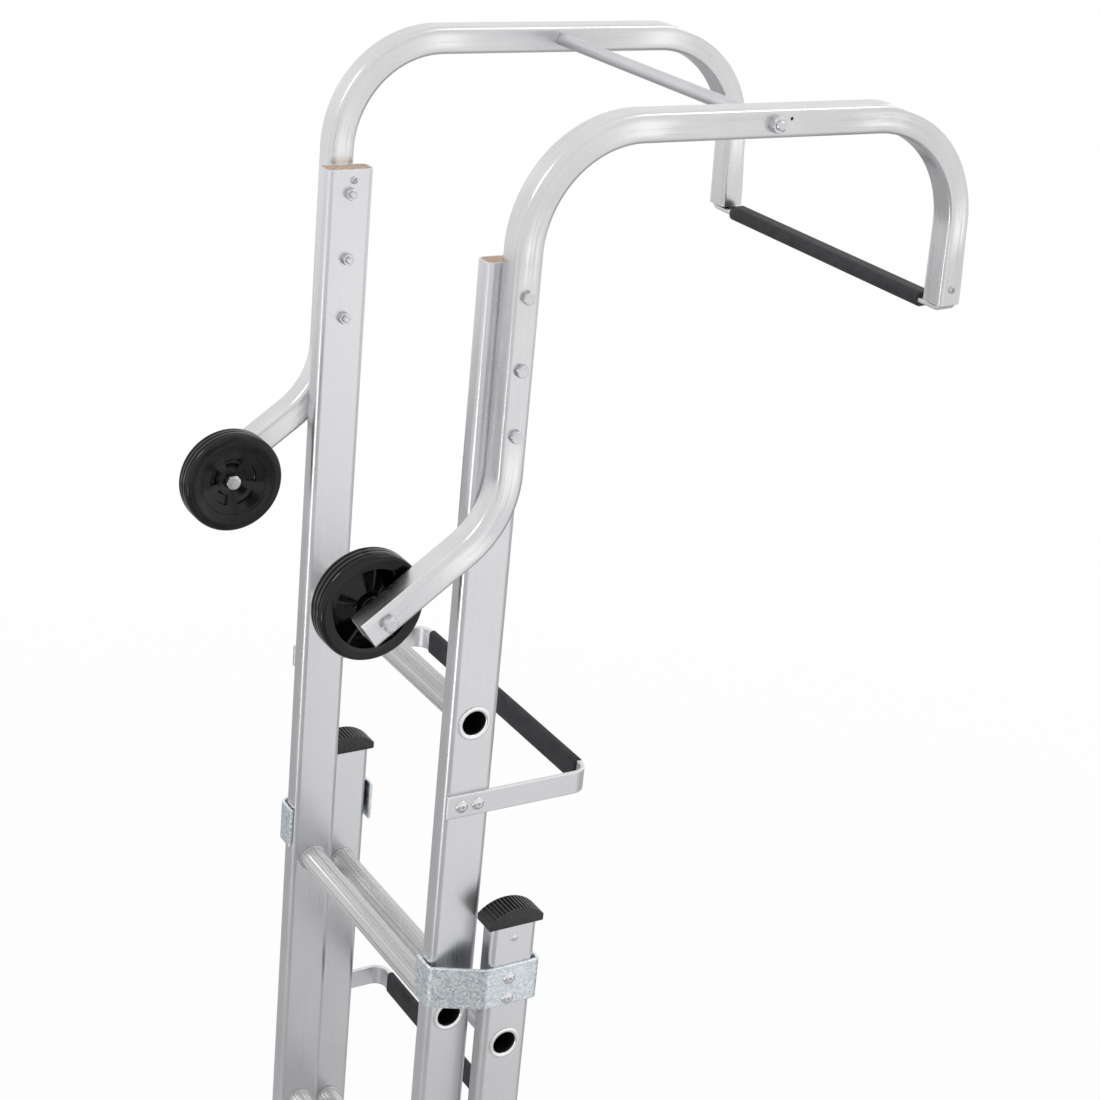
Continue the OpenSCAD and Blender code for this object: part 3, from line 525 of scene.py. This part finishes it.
for kind, section, up in (("top_cap", "lower", 1), ("lower_foot", "lower", -1),
                          ("upper_foot", "upper", -1)):
    for hand in ("left", "right"):
        node = kind + "_" + hand
        centre = middle(node)
        centre[2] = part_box(node)[1][2] - dome_high if up > 0 else dome_high
        end = domed_end(centre, up, 0 if up > 0 else sole_cut)
        piece(node + "_moulding", [end], rubbery, section + "_section", "cap_plastic", node,
              sharp=25)

# ---- Guide brackets ----
# Galvanised strip, 3 mm thick and 42 mm high, bent cold round the stiles and riveted to
# one of them. The upper pair is on the lower stiles, the bottom pair on the upper ones.
front = middle("upper_stile_right")[1]


def filleted(points, radii, steps):
    """A path with a round corner at each inner point: the arc that touches both straight
    parts, its points spread evenly by turning the radius from one touch to the other."""
    points = np.array(points, float)
    way = [points[:1]]
    for before, corner, after, r in zip(points[:-2], points[1:-1], points[2:], radii):
        d1 = (corner - before) / np.linalg.norm(corner - before)
        d2 = (after - corner) / np.linalg.norm(after - corner)
        turned = np.arccos(np.clip(d1 @ d2, -1, 1))
        centre = corner + (d2 - d1) / np.linalg.norm(d2 - d1) * r / np.cos(turned / 2)
        a = corner - d1 * r * np.tan(turned / 2) - centre
        b = corner + d2 * r * np.tan(turned / 2) - centre
        s = np.linspace(0, 1, steps)[:, None]
        arc = np.sin((1 - s) * turned) * a + np.sin(s * turned) * b
        way.append(centre + arc / np.sin(turned))
    return np.concatenate(way + [points[-1:]])


galvanised, tree, shader, at = new_finish("galvanised strip", {"Metallic": 1.0})
spangle = add(tree, "TexVoronoi", {"Vector": at, "Scale": 520.0}).outputs["Color"]
mottle = mix(tree, 0.55, spangle, noise(tree, at, 900.0, 4.0))
feed(tree, shader, {
    "Base Color": ramp(tree, mottle, 0.28, (0.52, 0.57, 0.60), 0.72, (0.93, 0.97, 0.99)),
    "Roughness": span(tree, mottle, 0.25, 0.75, 0.24, 0.46),
    "Normal": relief(tree, mottle, 0.45, 0.0002)})

# The corners of each strip's middle line: out from the ladder's middle, and back from the
# upper stiles' middle
strips = (("guide_bracket", "lower", [(0.1597, 0.0735), (0.1845, 0.0735), (0.1845, 0.0200),
                                      (0.1610, -0.0258), (0.1377, -0.0258)]),
          ("bottom_bracket", "upper", [(0.1595, -0.0198), (0.1595, 0.0080), (0.1868, 0.0195),
                                       (0.1868, 0.0723), (0.1637, 0.0723)]))
strip_section = rounded_section(0.003, 0.042, 0.0008, 4)
strip_bends = [0.0035, 0.006, 0.006]
hands = (("left", -1), ("right", 1))
for kind, section, corners in strips:
    for hand, side in hands:
        node = kind + "_" + hand
        height = middle(node)[2]
        way = filleted([(side * x, y + front, height) for x, y in corners], strip_bends, 7)
        strip = carry(way, (0, 0, 1), strip_section, solid_rings(len(way), 0.0006))
        piece(node + "_strip", [strip], galvanised, section + "_section", "zinc", node)

# ---- Roof bearers ----
# Aluminium flat bar, 22 by 4 mm, bent to a U behind the rungs and riveted to the stiles'
# outer faces. A black foam sleeve pads the part that lies on the roof.
flat_bar = metal("flat bar aluminium", (0.70, 0.70, 0.71), 0.38, (500, 6), 0.08, 0.25)
foam, tree, shader, at = new_finish("closed cell foam", {"Roughness": 0.62,
                                                         "Specular IOR Level": 0.35})
cells = add(tree, "TexVoronoi", {"Vector": at, "Scale": 900.0}).outputs["Distance"]
skin = mix(tree, 0.7, cells, noise(tree, at, 60.0, 5.0))
feed(tree, shader, {
    "Base Color": ramp(tree, skin, 0.3, (0.016, 0.016, 0.018), 0.7, (0.050, 0.050, 0.055)),
    "Normal": relief(tree, skin, 0.5, 0.0008)})

bar_thick, bearer_bend = 0.004, 0.014
bearer_section = rounded_section(bar_thick, 0.022, 0.0009, 4)
for section, x in (("upper", 0.160), ("lower", 0.185)):
    node = section + "_bearer"
    front_end, back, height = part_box(node)[0][1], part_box(node)[1][1], middle(node)[2]
    back -= bar_thick / 2
    corners = [(x, front_end, height), (x, back, height), (-x, back, height),
               (-x, front_end, height)]
    way = filleted(corners, [bearer_bend] * 2, 12)
    u_bar = carry(way, (0, 0, 1), bearer_section, solid_rings(len(way), 0.0005))
    piece(node + "_bar", [u_bar], flat_bar, section + "_section", "aluminium", node)
    (x0, y0, z0), (x1, y1, z1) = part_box(node + "_sleeve")
    along = np.linspace(x0, x1, 160)
    way = np.stack([along, 0 * along + (y0 + y1) / 2, 0 * along + height], -1)
    sleeve_section = rounded_section(y1 - y0, z1 - z0, 0.0037)
    sleeve = carry(way, (0, 0, 1), sleeve_section, solid_rings(len(way), 0.0012))
    piece(node + "_sleeve_foam", [sleeve], foam, section + "_section", "foam", node + "_sleeve")

# ---- Timber packers ----
# Pale softwood blocks pushed into the upper stiles' tops, so that the hook bolts don't
# crush the tube. Their sawn ends show on top.
timber, tree, shader, at = new_finish("sawn softwood", {"Roughness": 0.8})
pith = add(tree, "Mapping", {"Vector": at, "Location": (0.08, 0.12, 0),
                             "Scale": (1, 1, 0.06)}).outputs[0]
years = add(tree, "TexWave", {"Vector": pith, "Scale": 60.0, "Distortion": 3.0, "Detail": 3.0,
                              "Detail Scale": 2.0}, wave_type="RINGS", rings_direction="Z")
grain = mix(tree, 0.45, years.outputs["Fac"], noise(tree, pith, 900.0, 4.0))
feed(tree, shader, {
    "Base Color": ramp(tree, grain, 0.2, (0.56, 0.38, 0.26), 0.8, (0.80, 0.64, 0.50)),
    "Normal": relief(tree, grain, 0.4, 0.0003)})

packer_long, packer_section = 0.166, rounded_section(0.0167, 0.0437, 0.0044)
for hand in ("left", "right"):
    node = "timber_packer_" + hand
    x, y, _ = middle(node)
    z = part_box(node)[1][2]
    way = [(x, y, z - packer_long), (x, y, z - 0.012), (x, y, z)]
    block = carry(way, (0, 1, 0), packer_section, solid_rings(len(way), 0.0004))
    piece(node + "_block", [block], timber, "upper_section", "timber", node)

# ---- Hooks ----
# Two lengths of 25 mm square aluminium tube, each bent three times on a bender: out to
# the wheel, over the stile and down over the ridge. The last bend's outer wall has sunk
# a little, and the benders' jaws have rubbed the faces beside each bend.
tube_metal = metal("bent aluminium tube", (0.66, 0.66, 0.67), 0.27, (300, 9), 0.11, 0.2,
                   rubbed=0.48)
# A near-black metal for a flat disc: painted shade that stands for a small hole's dark inside
painted_hole_shade = metal("painted shade of a hole", (0.03, 0.03, 0.03), 0.6, (300, 20), 0.3, 0.2)
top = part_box("upper_stile_right")[1][2]
hook_x, in_face, out_face = 0.1705, 0.158, 0.183
lean, slope = math.radians(2.5), math.radians(35.5)  # of the far leg, and of the arm
leg_long = 0.170
run = top + 0.109
reach_y, leg_z = front + 0.438, run - leg_long
low_bend, back_bend, far_bend = 0.081, 0.097, 0.103
tangent = low_bend * math.tan(math.radians(27.25))  # from the low bend's corner to its arc
low_corner = top - 0.173 - tangent
arm = 0.105 + tangent
section = rounded_section(0.025, 0.025, 0.004)
# Two more points across each side face, which carry the rubbed places
section = [np.insert(s, [8, 8, 24, 24], m, axis=0) for s, m in zip(section, (
    [[0.0045, 0.0125], [-0.0045, 0.0125], [-0.0045, -0.0125], [0.0045, -0.0125]],
    [[0, 1], [0, 1], [0, -1], [0, -1]]))]
mid_face = abs(section[0][:, 0]) < 0.005
for hand, side in hands:
    x = side * hook_x
    corners = [(x, front - arm * math.cos(slope), low_corner - arm * math.sin(slope)),
               (x, front, low_corner), (x, front, run),
               (x, reach_y - leg_long * math.tan(lean), run), (x, reach_y, leg_z)]
    way = filleted(corners, [low_bend, back_bend, far_bend], 41)
    # More points on the straight parts, for the rubbed places and the sunk wall
    length = np.concatenate([[0], np.cumsum(np.linalg.norm(np.diff(way, axis=0), axis=1))])
    bends = [(length[first], length[first + 40]) for first in (1, 42, 83)]
    at = np.union1d(length, np.arange(0.004, length[-1] - 0.003, 0.008))
    at = at[np.concatenate([[True], np.diff(at) > 0.0008])]
    at[-1] = length[-1]
    way = np.stack([np.interp(at, length, way[:, k]) for k in range(3)], -1)
    # The last bend's wall sinks smoothly to its full depth, and comes back past the bend
    deepest = 0.0026
    start, end = bends[-1]
    sunk = np.clip((at - start) / 0.030, 0, 1) * np.clip((end + 0.062 - at) / 0.060, 0, 1)
    sunk = deepest * sunk * sunk * (3 - 2 * sunk)
    rings = tube_rings(len(at), 0.002, 0.0003)
    tube = carry(way, (1, 0, 0), section, rings, hollow=True, press=sunk)
    # The jaws' marks fade away from both ends of each bend
    place_on = np.array([at[r[0]] for r in rings])
    near = sum(np.exp(-((place_on - b) / 0.026) ** 2) for pair in bends for b in pair)
    worn = (near[:, None] * mid_face).ravel()
    # No hole is cut: a flat disc on the hook's outer face, painted near black, is painted shade
    # in place of a small hole
    painted_hole = spun([-0.0002, 0, 0.00005], [0, 0.0015, 0],
                (side * 0.18302, front + 0.2355, run + 0.0038), side, 24)
    piece("hook_%s_tube" % hand, [(*tube, 0, worn), (*painted_hole, 1)], [tube_metal, painted_hole_shade],
          "upper_section", "aluminium", "hook_" + hand)

# ---- Tie between the hooks ----
# A round aluminium tube holds the hooks apart, and a steel rod through it, threaded at
# its ends, pulls them together with a nut on each side.
plated = metal("bright plated steel", (0.60, 0.60, 0.61), 0.20, (900, 300), 0.16, 0.3)
spacer_tube = metal("tie tube aluminium", (0.60, 0.59, 0.61), 0.38, (500, 5), 0.10, 0.25)
broken = in_face - 0.0004  # where its broken edges begin
profile = [(-in_face, 0.0056), (-broken, 0.006), (broken, 0.006), (in_face, 0.0056),
           (in_face, 0.0041), (-in_face, 0.0041)]
tie_y, tie_z = middle("tie_tube")[1:]
x, r = np.array(profile).T
piece("tie_tube_round", [spun(x, r, (0, tie_y, tie_z), close_rows=True)], spacer_tube,
      "upper_section", "aluminium", "tie_tube")
m6_flats, m8_flats = 0.010, 0.013  # across the flats of their heads and nuts


def threaded_end(length, r, pitch):
    """Rings of a screw's end: the radius drops by 0.45 of the pitch between crests, and
    the tip is chamfered and closed."""
    k = np.arange(int(length / pitch * 2))
    crests = zip(k * pitch / 2, r - (k % 2) * pitch * 0.45)
    return [(0, 0, 0), *[(x, away, 0) for x, away in crests], (length - 0.0006, r * 0.93, 0),
            (length, r * 0.75, 0), (length, 0, 0)]


def hexed(rings, centre, side, flats, turn=0.0, close_rows=False):
    """A turned piece that is a hexagon in part: each ring is (place along, greatest
    radius, whether the hexagon cuts it). The hexagon's edge is at half the flats over
    the cosine of the angle from the nearest flat's middle."""
    x, r, cut = np.array(rings, float).T
    a = np.linspace(0, 2 * np.pi, 72, endpoint=False)
    away = (a + turn + np.pi / 6) % (np.pi / 3) - np.pi / 6
    edge = flats / 2 / np.cos(away)
    r = np.where(cut[:, None] > 0, np.minimum(edge, r[:, None]), r[:, None] + 0 * a)
    return spun(x, r, centre, side, turns=a, close_rows=close_rows)


def nut_rings(flats, high, hole):
    """Rings of a nut: a hexagon with both its ends chamfered by 30 degrees."""
    tip, low = flats / 2 * 1.155, flats / 2 * 0.98
    return [(0, hole, 0), (0, low, 1), (0.0002, low * 1.06, 1), (0.0009, tip, 1),
            (high - 0.0009, tip, 1), (high - 0.0002, low * 1.06, 1), (high, low, 1),
            (high, hole, 0)]


# The shank, and at each end the thread and a nut against the hook's outer face
rod = [spun([-out_face, -out_face, out_face, out_face], [0, 0.0039, 0.0039, 0],
            (0, tie_y, tie_z), cols=24)]
nuts = []
for side in (-1, 1):
    thread_from = np.array([side * 0.1828, tie_y, tie_z])
    rod.append(hexed(threaded_end(0.0097, 0.004, 0.00125), thread_from, side, 0.008))
    nuts.append(hexed(nut_rings(m8_flats, 0.0065, 0.0038), (side * out_face, tie_y, tie_z), side,
                      m8_flats, 0.3, True))
piece("tie_rod_thread", rod, plated, "upper_section", "fastener_steel", "tie_rod")
piece("tie_nuts_hex", nuts, plated, "upper_section", "fastener_steel", "tie_nuts")

# ---- Hook bolts ----
# Three hexagon bolts through each hook, stile and packer, with nuts against the stile's
# inner face.


def head_rings(flats, high):
    """Rings of a bolt's head: a round bearing face, the hexagon, a chamfered top."""
    tip, low = flats / 2 * 1.155, flats / 2 * 0.96
    return [(0, 0, 0), (0, low, 0), (0.0003, low, 0), (0.0003, tip, 1),
            (high - 0.0009, tip, 1), (high - 0.0003, low * 1.07, 1), (high, low * 0.97, 1),
            (high - 0.0001, low * 0.5, 0), (high, 0, 0)]


stile_in = 0.138  # the stiles' inner faces
# For each bolt how far it is under the stile's top, and how far its hexagon is turned
places = ((0.022, 0.2), (0.0826, 0.75), (0.1382, 0.5))
bolts, nuts = [], []
for side in (-1, 1):
    for drop, turn in places:
        at = np.array([0, front, top - drop])
        bolts.append(hexed(head_rings(m6_flats, 0.004), at + [side * out_face, 0, 0], side,
                           m6_flats, turn))
        bolts.append(hexed(threaded_end(0.0035, 0.003, 0.001), at + [side * 0.1335, 0, 0],
                           -side, 0.006))
        nuts.append(hexed(nut_rings(m6_flats, 0.005, 0.0028), at + [side * stile_in, 0, 0],
                          -side, m6_flats, turn, True))
piece("hook_bolts_hex", bolts, plated, "upper_section", "fastener_steel", "hook_bolts")
piece("hook_nuts_hex", nuts, plated, "upper_section", "fastener_steel", "hook_nuts")

# ---- Small screws ----
# One cross-head screw holds each packer in its stile, and one holds each end of the
# ridge bar inside its hook's leg.


def cross_head(centre, side):
    """A pan head of 7 mm across, whose face sinks by 1.1 mm inside two crossed slots:
    wherever a point is less than 0.5 mm off either slot's line and 2.3 mm off the middle."""
    a = np.linspace(0, 2 * np.pi, 72, endpoint=False)
    r = np.array([0.0, 3.5, 3.5, 3.3, 2.6, 2.2, 1.6, 0.9, 0.0]) * 0.001
    x = np.array([0, 0, 0.7, 1.1, 1.5, 1.58, 1.6, 1.6, 1.6])[:, None] * 0.001 + 0 * a
    off_line = np.minimum(abs(np.sin(a + 0.5)), abs(np.cos(a + 0.5))) * r[:, None]
    x = x - 0.0011 * ((off_line < 0.0005) & (r[:, None] < 0.0023) & (x > 0))
    return spun(x, r, centre, side, turns=a)


screws = [cross_head((side * stile_in, front + 0.003, top - 0.010), -side)
          for side in (-1, 1)]
piece("packer_screws_heads", screws, plated, "upper_section", "fastener_steel", "packer_screws")
up_leg = np.array([0, -math.sin(lean), math.cos(lean)])
leg_end = np.array([0, reach_y, leg_z])
screws = [cross_head(leg_end + up_leg * 0.0147 + [side * out_face, 0, 0], side)
          for side in (-1, 1)]
piece("ridge_screws_heads", screws, plated, "upper_section", "fastener_steel", "ridge_screws")

# ---- Ridge bar ----
# Aluminium flat bar, 17 by 4 mm, under the open ends of the hooks' far legs and up
# inside them, with a thick black foam sleeve that lies on the far slope.
over_leg = np.array([0, math.cos(lean), math.sin(lean)])
to_end = np.array([0.17895, 0, 0])  # from the ladder's middle to an upturned end
under, inside = -0.004 * up_leg, 0.026 * up_leg
way = filleted([leg_end - to_end + inside, leg_end - to_end + under,
                leg_end + to_end + under, leg_end + to_end + inside], [0.006, 0.006], 10)
ridge_section = rounded_section(bar_thick, 0.017, 0.0009, 4)
ridge_bar = carry(way, over_leg, ridge_section, solid_rings(len(way), 0.0005))
piece("ridge_bar_flat", [ridge_bar], flat_bar, "upper_section", "aluminium", "ridge_bar")
along = np.linspace(-0.149, 0.149, 150)[:, None]
way = leg_end + under + along * np.array([1.0, 0, 0])
sleeve = carry(way, up_leg, rounded_section(0.021, 0.014, 0.0065, 9),
               solid_rings(len(way), 0.0015))
piece("ridge_sleeve_foam", [sleeve], foam, "upper_section", "foam", "ridge_sleeve")

# ---- Rivets ----
# Aluminium blind rivets, each a flat dome with the broken stem sunk in its middle. They
# hold the brackets, the bearers, the caps and the feet.
soft_alloy = metal("rivet aluminium", (0.72, 0.72, 0.73), 0.20, (1200, 600), 0.08, 0.2)
crown = metal("rivet stem", (0.4, 0.4, 0.41), 0.25, (1200, 600), 0.15, 0.2)


def rivet_head(centre, side, wide=0.012, high=0.0024):
    """A flat dome, rounded over at its edge, with a small hole in its middle. Its rings
    are shares of its height and of its radius."""
    rings = [(0, 0), (0, 1), (0.2, 1), (0.42, 0.945), (0.67, 0.8), (0.89, 0.6), (1, 0.4),
             (0.98, 0.28), (0.72, 0.24), (0.64, 0.19), (0.72, 0)]
    x, r = np.array(rings).T * [[high], [wide / 2]]
    v, f, t = spun(x, r, centre, side, 40)
    return v, f, t, np.repeat([0, 0, 0, 0, 0, 0, 0, 0, 1, 1], 40)


back = middle("lower_stile_right")[1]
low_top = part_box("lower_stile_right")[1][2]
strip_z, low_bearer, up_bearer = low_top - 0.061, low_top - 0.2965, top - 0.4897
cap_z, foot_z = low_top - 0.0134, 0.0314
# Where each head sits: on the strips and the bearers, and the smaller ones on the stiles
low_large = [(0.186, back - 0.0032, strip_z + 0.0075), (0.186, back - 0.0032, strip_z - 0.0139),
             (0.187, back - 0.0075, low_bearer), (0.187, back + 0.0085, low_bearer)]
low_small = [(out_face, back, cap_z), (out_face, back, foot_z)]
up_large = [(0.161, front - 0.006, 0.170), (0.161, front - 0.006, 0.150),
            (0.162, front - 0.0075, up_bearer), (0.162, front + 0.0085, up_bearer)]
up_small = [(in_face, front, foot_z)]
for section, large, small in (("lower", low_large, low_small), ("upper", up_large, up_small)):
    heads = [rivet_head((side * x, y, z), side) for x, y, z in large for side in (-1, 1)]
    heads += [rivet_head((side * x, y, z), side, 0.007, 0.0013)
              for x, y, z in small for side in (-1, 1)]
    piece(section + "_rivets_heads", heads, [soft_alloy, crown], section + "_section",
          "rivet_aluminium", section + "_rivets")

# ---- Axles ----
# An M8 bolt through each arm's end carries a wheel between the arm, with a short black
# spacer, and a nut that lies in the wheel's dish.
(dished, _, _), (ribbed, _, _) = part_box("wheel_right")
axle_y, axle_z = middle("wheel_right")[1:]
bolts, nuts, spacers = [], [], []
for side in (-1, 1):
    # The bolt's head, shank and thread, its nut, and the spacer's profile in mm
    at = np.array([0, axle_y, axle_z])
    turn = 0.15 if side > 0 else 0.4
    bolts.append(hexed(head_rings(m8_flats, 0.0053), at + [side * out_face, 0, 0], side,
                       m8_flats, turn))
    bolts.append(spun([0.131, 0.131, 0.1583, 0.1583], [0, 0.004, 0.004, 0], at, side, 24))
    bolts.append(hexed(threaded_end(0.0035, 0.004, 0.00125), at + [side * 0.1354, 0, 0],
                       -side, 0.008))
    nuts.append(hexed(nut_rings(m8_flats, 0.0065, 0.0038),
                      at + [side * (dished + 0.0087), 0, 0], -side, m8_flats, turn, True))
    ring = np.array([(0, 4.2), (0, 7.6), (0.4, 8.0), (2.6, 8.0), (3.0, 7.6), (3.0, 4.2)])
    x, r = ring.T * 0.001
    spacers.append(spun(x + ribbed + 0.0003, r, at, side, 48, close_rows=True))
piece("axle_bolts_hex", bolts, plated, "upper_section", "fastener_steel", "axle_bolts")
piece("axle_nuts_hex", nuts, plated, "upper_section", "fastener_steel", "axle_nuts")

# ---- Wheels ----
# Glossy black mouldings, 95 mm across: three grooves in the tread, round shoulders, a
# dish with five curved pockets round the hub, and five ribs on the open side.
nylon, tree, shader, at = new_finish("wheel moulding", {"Specular IOR Level": 0.33})
flow = noise(tree, at, 35.0, 6.0)
feed(tree, shader, {
    "Base Color": ramp(tree, flow, 0.35, (0.004, 0.004, 0.005), 0.7, (0.012, 0.012, 0.013)),
    "Roughness": span(tree, flow, 0.3, 0.7, 0.10, 0.20),
    "Normal": relief(tree, noise(tree, at, 500.0, 3.0), 0.12, 0.0002)})
piece("axle_spacers_ring", spacers, nylon, "upper_section", "wheel_plastic", "axle_spacers")


def shoulder(x, r, size, start):
    """Six points of a quarter circle of a size round (x, r), from an angle in degrees,
    where 0 is along +X and 90 outwards, turning back towards 0."""
    a = np.radians(start - np.linspace(0, 90, 6))
    return [(x + size * math.cos(b), r + size * math.sin(b)) for b in a]


def moulded_wheel(centre, side, turned):
    """A ring-shaped profile spun round the axle: tread, ribbed face, cavity, hub, bore
    and a dish that slopes from its lip at 31 mm in to the hub. Inside each pocket the
    dish's face is left out, and a floor 2.8 mm behind it with walls up to it is put in.
    Ribs run from hub to rim."""
    # The profile in mm: along the axle from the dished face, and out from it
    rows = [(1.5, 30.9), (0.5, 31.2), (0, 31.9), (0, 43.0)]
    rows += shoulder(4, 43.5, 4, 180)
    for g in (5.5, 11.0, 16.5):
        rows += [(g - 1.1, 47.5), (g - 0.8, 47.2), (g - 0.7, 45.9),
                 (g + 0.7, 45.9), (g + 0.8, 47.2), (g + 1.1, 47.5)]
    rows += shoulder(18, 43.5, 4, 90)
    rows += [(22, 43.0), (22, 36.2), (21.8, 35.5), (21.2, 35.2), (6.2, 34.8), (5.6, 34.4),
             (5.5, 33.6), (5.5, 31.2), (6.4, 28.9), (12.4, 12.6), (13.2, 11.3), (14.0, 11.0),
             (21.5, 10.8), (22, 10.3), (22, 5.2), (21.4, 4.2), (9.4, 4.2), (9, 4.8), (9, 10.4),
             (8.85, 11.4)]
    slope = 7.5 / 20  # the dish's
    dish = len(rows)
    rows += [(9 - 3 * slope, 14), (9 - 12 * slope, 23), (9 - 19.2 * slope, 30.2)]
    x, r = np.array(rows).T * 0.001
    a = np.radians(np.arange(180) * 2.0 + 1)
    v, f, t = spun(x, r, centre, side, turns=a, close_rows=True)
    # Leave the dish's face out inside the pockets, and put each pocket in
    slots = np.arange(5) * 72 - 18 + turned
    off_slot = abs((np.degrees(a)[:, None] + 1 - side * slots + 180) % 360 - 180).min(1)
    on_dish = np.arange(len(rows)) == dish
    keep = ~(on_dish[:, None] & (off_slot < 22.5)[None]).ravel()
    parts = [(v, f[keep], t.reshape(-1, 4, 2)[keep].reshape(-1, 2))]
    for slot in slots:
        # Its outline runs along the inner edge and back along the outer one
        w = np.radians(side * slot + np.arange(-23, 24, 2))
        angle = np.concatenate([w, w[::-1]])
        out = np.repeat([0.014, 0.023], len(w))
        inner = np.clip(angle, w[0] + 0.02, w[-1] - 0.02)
        rr = np.array([out, out, np.clip(out, 0.0144, 0.0226), 0 * out + 0.0185])
        ww = np.array([angle, angle, inner, inner])
        fall = (rr - 0.011) * slope
        xx = np.array([0.009, 0.0114, 0.0118, 0.0118])[:, None] - fall
        pts = np.stack([side * xx, rr * np.cos(ww), side * rr * np.sin(ww)], -1) + centre
        u = np.linspace(0, 0.1, len(angle) + 1)
        parts.append(lattice(pts, u[None], np.array([[0], [0.003], [0.004], [0.008]])))
    # Each rib is three lengths from the rim in to the hub: where its two edges lie along
    # the axle, and how far its two ends are from it
    lengths = ((0.0050, 0.0205, 0.0300, 0.0352), (0.0088, 0.0205, 0.0200, 0.0301),
               (0.0124, 0.0205, 0.0104, 0.0201))
    for rib in np.radians(slots + 36):
        out = np.array([0, math.cos(rib), math.sin(rib)])
        for low, high, start, end in lengths:
            mid = centre + [side * (low + high) / 2, 0, 0]
            way = [mid + out * d for d in (start, (start + end) / 2, end)]
            rib_section = rounded_section(0.0025, high - low, 0.0006, 3)
            parts.append(carry(way, (side, 0, 0), rib_section, solid_rings(len(way), 0.0001)))
    return parts


for hand, side, turned in (("left", -1, 36), ("right", 1, 0)):
    node = "wheel_" + hand
    centre = np.array([side * dished, axle_y, axle_z])
    piece(node + "_moulding", moulded_wheel(centre, side, turned), nylon, node,
          "wheel_plastic", node, sharp=40)
